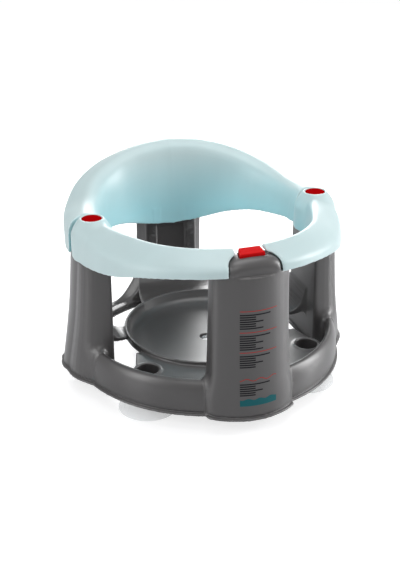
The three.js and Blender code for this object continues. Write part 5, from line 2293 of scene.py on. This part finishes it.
@dataclass
class Studio:
    """Floor, soft lights and the camera at the photograph's angle.

    A lamp is its name, its place, its size and its power.
    """

    eye: Corner = (-0.4269, -1.2521, 0.7271)
    azimuth: float = -18.483
    elevation: float = 25.067
    lens: float = 73.335
    sensor: float = 36.0
    clip: Point = (0.05, 50.0)
    target: Corner = (0.0, 0.0, 0.12)
    floor_half: float = 6.0
    floor_drop: float = 0.0002
    floor_colour: tuple = (0.86, 0.86, 0.87, 1)
    floor_roughness: float = 0.25
    floor_glow: float = 1.6
    floor_share: float = 0.45
    air_colour: tuple = (0.52, 0.53, 0.55, 1)
    air_strength: float = 0.6
    glossy_share: float = 0.45
    white: tuple = (1, 1, 1, 1)
    lamps: tuple = (
        ("left_box", (-1.9, -0.45, 0.9), (0.6, 1.4), 16),
        ("right_box", (2.0, -0.5, 0.75), (0.6, 1.4), 37),
        ("top_box", (0.1, 0.1, 2.2), (1.6, 1.4), 18),
        ("front_box", (-0.7, -1.7, 1.9), (1.2, 1.2), 10),
        ("back_box", (0.8, 1.9, 0.75), (1.2, 0.8), 24),
    )

    def camera(self) -> None:
        """Sets up the camera."""
        data = bpy.data.cameras.new("camera")
        data.lens, data.sensor_width, data.sensor_fit = self.lens, self.sensor, "AUTO"
        data.clip_start, data.clip_end = self.clip
        camera = bpy.data.objects.new("camera", data)
        bpy.context.scene.collection.objects.link(camera)
        a, e = math.radians(self.azimuth), math.radians(self.elevation)
        right = Vector((math.cos(a), math.sin(a), 0))
        back = Vector((math.sin(a) * math.cos(e), -math.cos(a) * math.cos(e), math.sin(e)))
        turn = Matrix((right, back.cross(right), back)).transposed().to_4x4()
        camera.matrix_world = Matrix.Translation(Vector(self.eye)) @ turn
        bpy.context.scene.camera = camera

    def floor(self) -> None:
        """Lays a pale floor that shows the object's shadow."""
        shape = bmesh.new()
        bmesh.ops.create_grid(shape, x_segments=1, y_segments=1, size=self.floor_half)
        floor = meshed(shape, "floor")
        floor.location.z = -self.floor_drop
        floor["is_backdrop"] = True
        made = bpy.data.materials.new("pale floor")
        made.use_nodes = True
        graph = Graph(made.node_tree)
        shader = made.node_tree.nodes["Principled BSDF"]
        shader.inputs["Base Color"].default_value = self.floor_colour
        shader.inputs["Roughness"].default_value = self.floor_roughness
        light = graph.node("ShaderNodeLightPath")
        share = graph.maths("MULTIPLY", graph.seen(light), self.floor_share)
        glow = graph.node("ShaderNodeEmission", Color=self.white, Strength=self.floor_glow)
        graph.blended(share, shader, glow, "Material Output")
        floor.data.materials.append(made)

    def world(self) -> None:
        """Puts white behind the object, and a soft grey light all round."""
        world = bpy.data.worlds.new("studio")
        bpy.context.scene.world = world
        world.use_nodes = True
        graph = Graph(world.node_tree)
        back = world.node_tree.nodes["Background"]
        back.inputs["Color"].default_value = self.air_colour
        back.inputs["Strength"].default_value = self.air_strength
        white = graph.node("ShaderNodeBackground", Color=self.white, Strength=1.0)
        light = graph.node("ShaderNodeLightPath")
        direct = graph.seen(light)
        glossy = graph.maths("MULTIPLY", light.outputs["Is Glossy Ray"], self.glossy_share)
        graph.blended(graph.maths("MAXIMUM", direct, glossy), back, white, "World Output")

    def lamp(self, name: str, place: Corner, size: Point, power: float) -> None:
        """Hangs a soft box that looks at the middle of the seat.

        Args:
            name: The lamp's name.
            place: Where it hangs, in metres.
            size: Its width and height in metres.
            power: Its power in watts.
        """
        data = bpy.data.lights.new(name, "AREA")
        data.shape, data.size, data.size_y, data.energy = "RECTANGLE", *size, power
        lamp = bpy.data.objects.new(name, data)
        bpy.context.scene.collection.objects.link(lamp)
        lamp.location = place
        aim = Vector(self.target) - Vector(place)
        lamp.rotation_euler = aim.to_track_quat("-Z", "Y").to_euler()

    def build(self) -> None:
        """Sets up the whole studio."""
        self.camera()
        self.floor()
        self.world()
        for lamp in self.lamps:
            self.lamp(*lamp)
        bpy.context.scene.view_settings.view_transform = "Standard"


def write_sizes(before: tuple) -> None:
    """Works out the CAD box and the visual model's box as plain lists.

    Args:
        before: The CAD box.
    """
    boxes = {"cad": before, "visual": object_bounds()}
    plain = {key: [[float(v) for v in corner] for corner in box] for key, box in boxes.items()}


def main() -> None:
    """Builds the seat piece by piece, then the studio round it."""
    logging.basicConfig(level=logging.INFO, format="%(message)s")
    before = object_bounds()
    finishes = Finishes()
    head, ring, hinge = Head(), Ring(), Hinge()
    base = Base(finishes, head).build()
    Backrest(finishes, ring, hinge).build()
    for side in Side:
        Gate(finishes, ring, hinge, head, side).build()
        HingeFittings(finishes, hinge, side).build()
    Latch(finishes).build()
    LatchSpring(finishes).build()
    Screws(finishes).build()
    ColumnCover(finishes).build()
    for side in Side:
        at = side.at(*PLACES.front_cup)
        SuctionCup(finishes, f"suction_cup_front_{side.word}", at, neck_top=27).build()
    centre = {"neck_top": 32.6, "knob_radius": 5.7, "knob_height": 2.5}
    SuctionCup(finishes, "suction_cup_centre", (0, 0), **centre).build()
    SuctionCup(finishes, "suction_cup_rear", PLACES.rear_cup, neck_top=36, knob=False).build()
    LevelGauge(finishes, base).build()
    Studio().build()
    write_sizes(before)


if __name__ == "__main__":
    main()
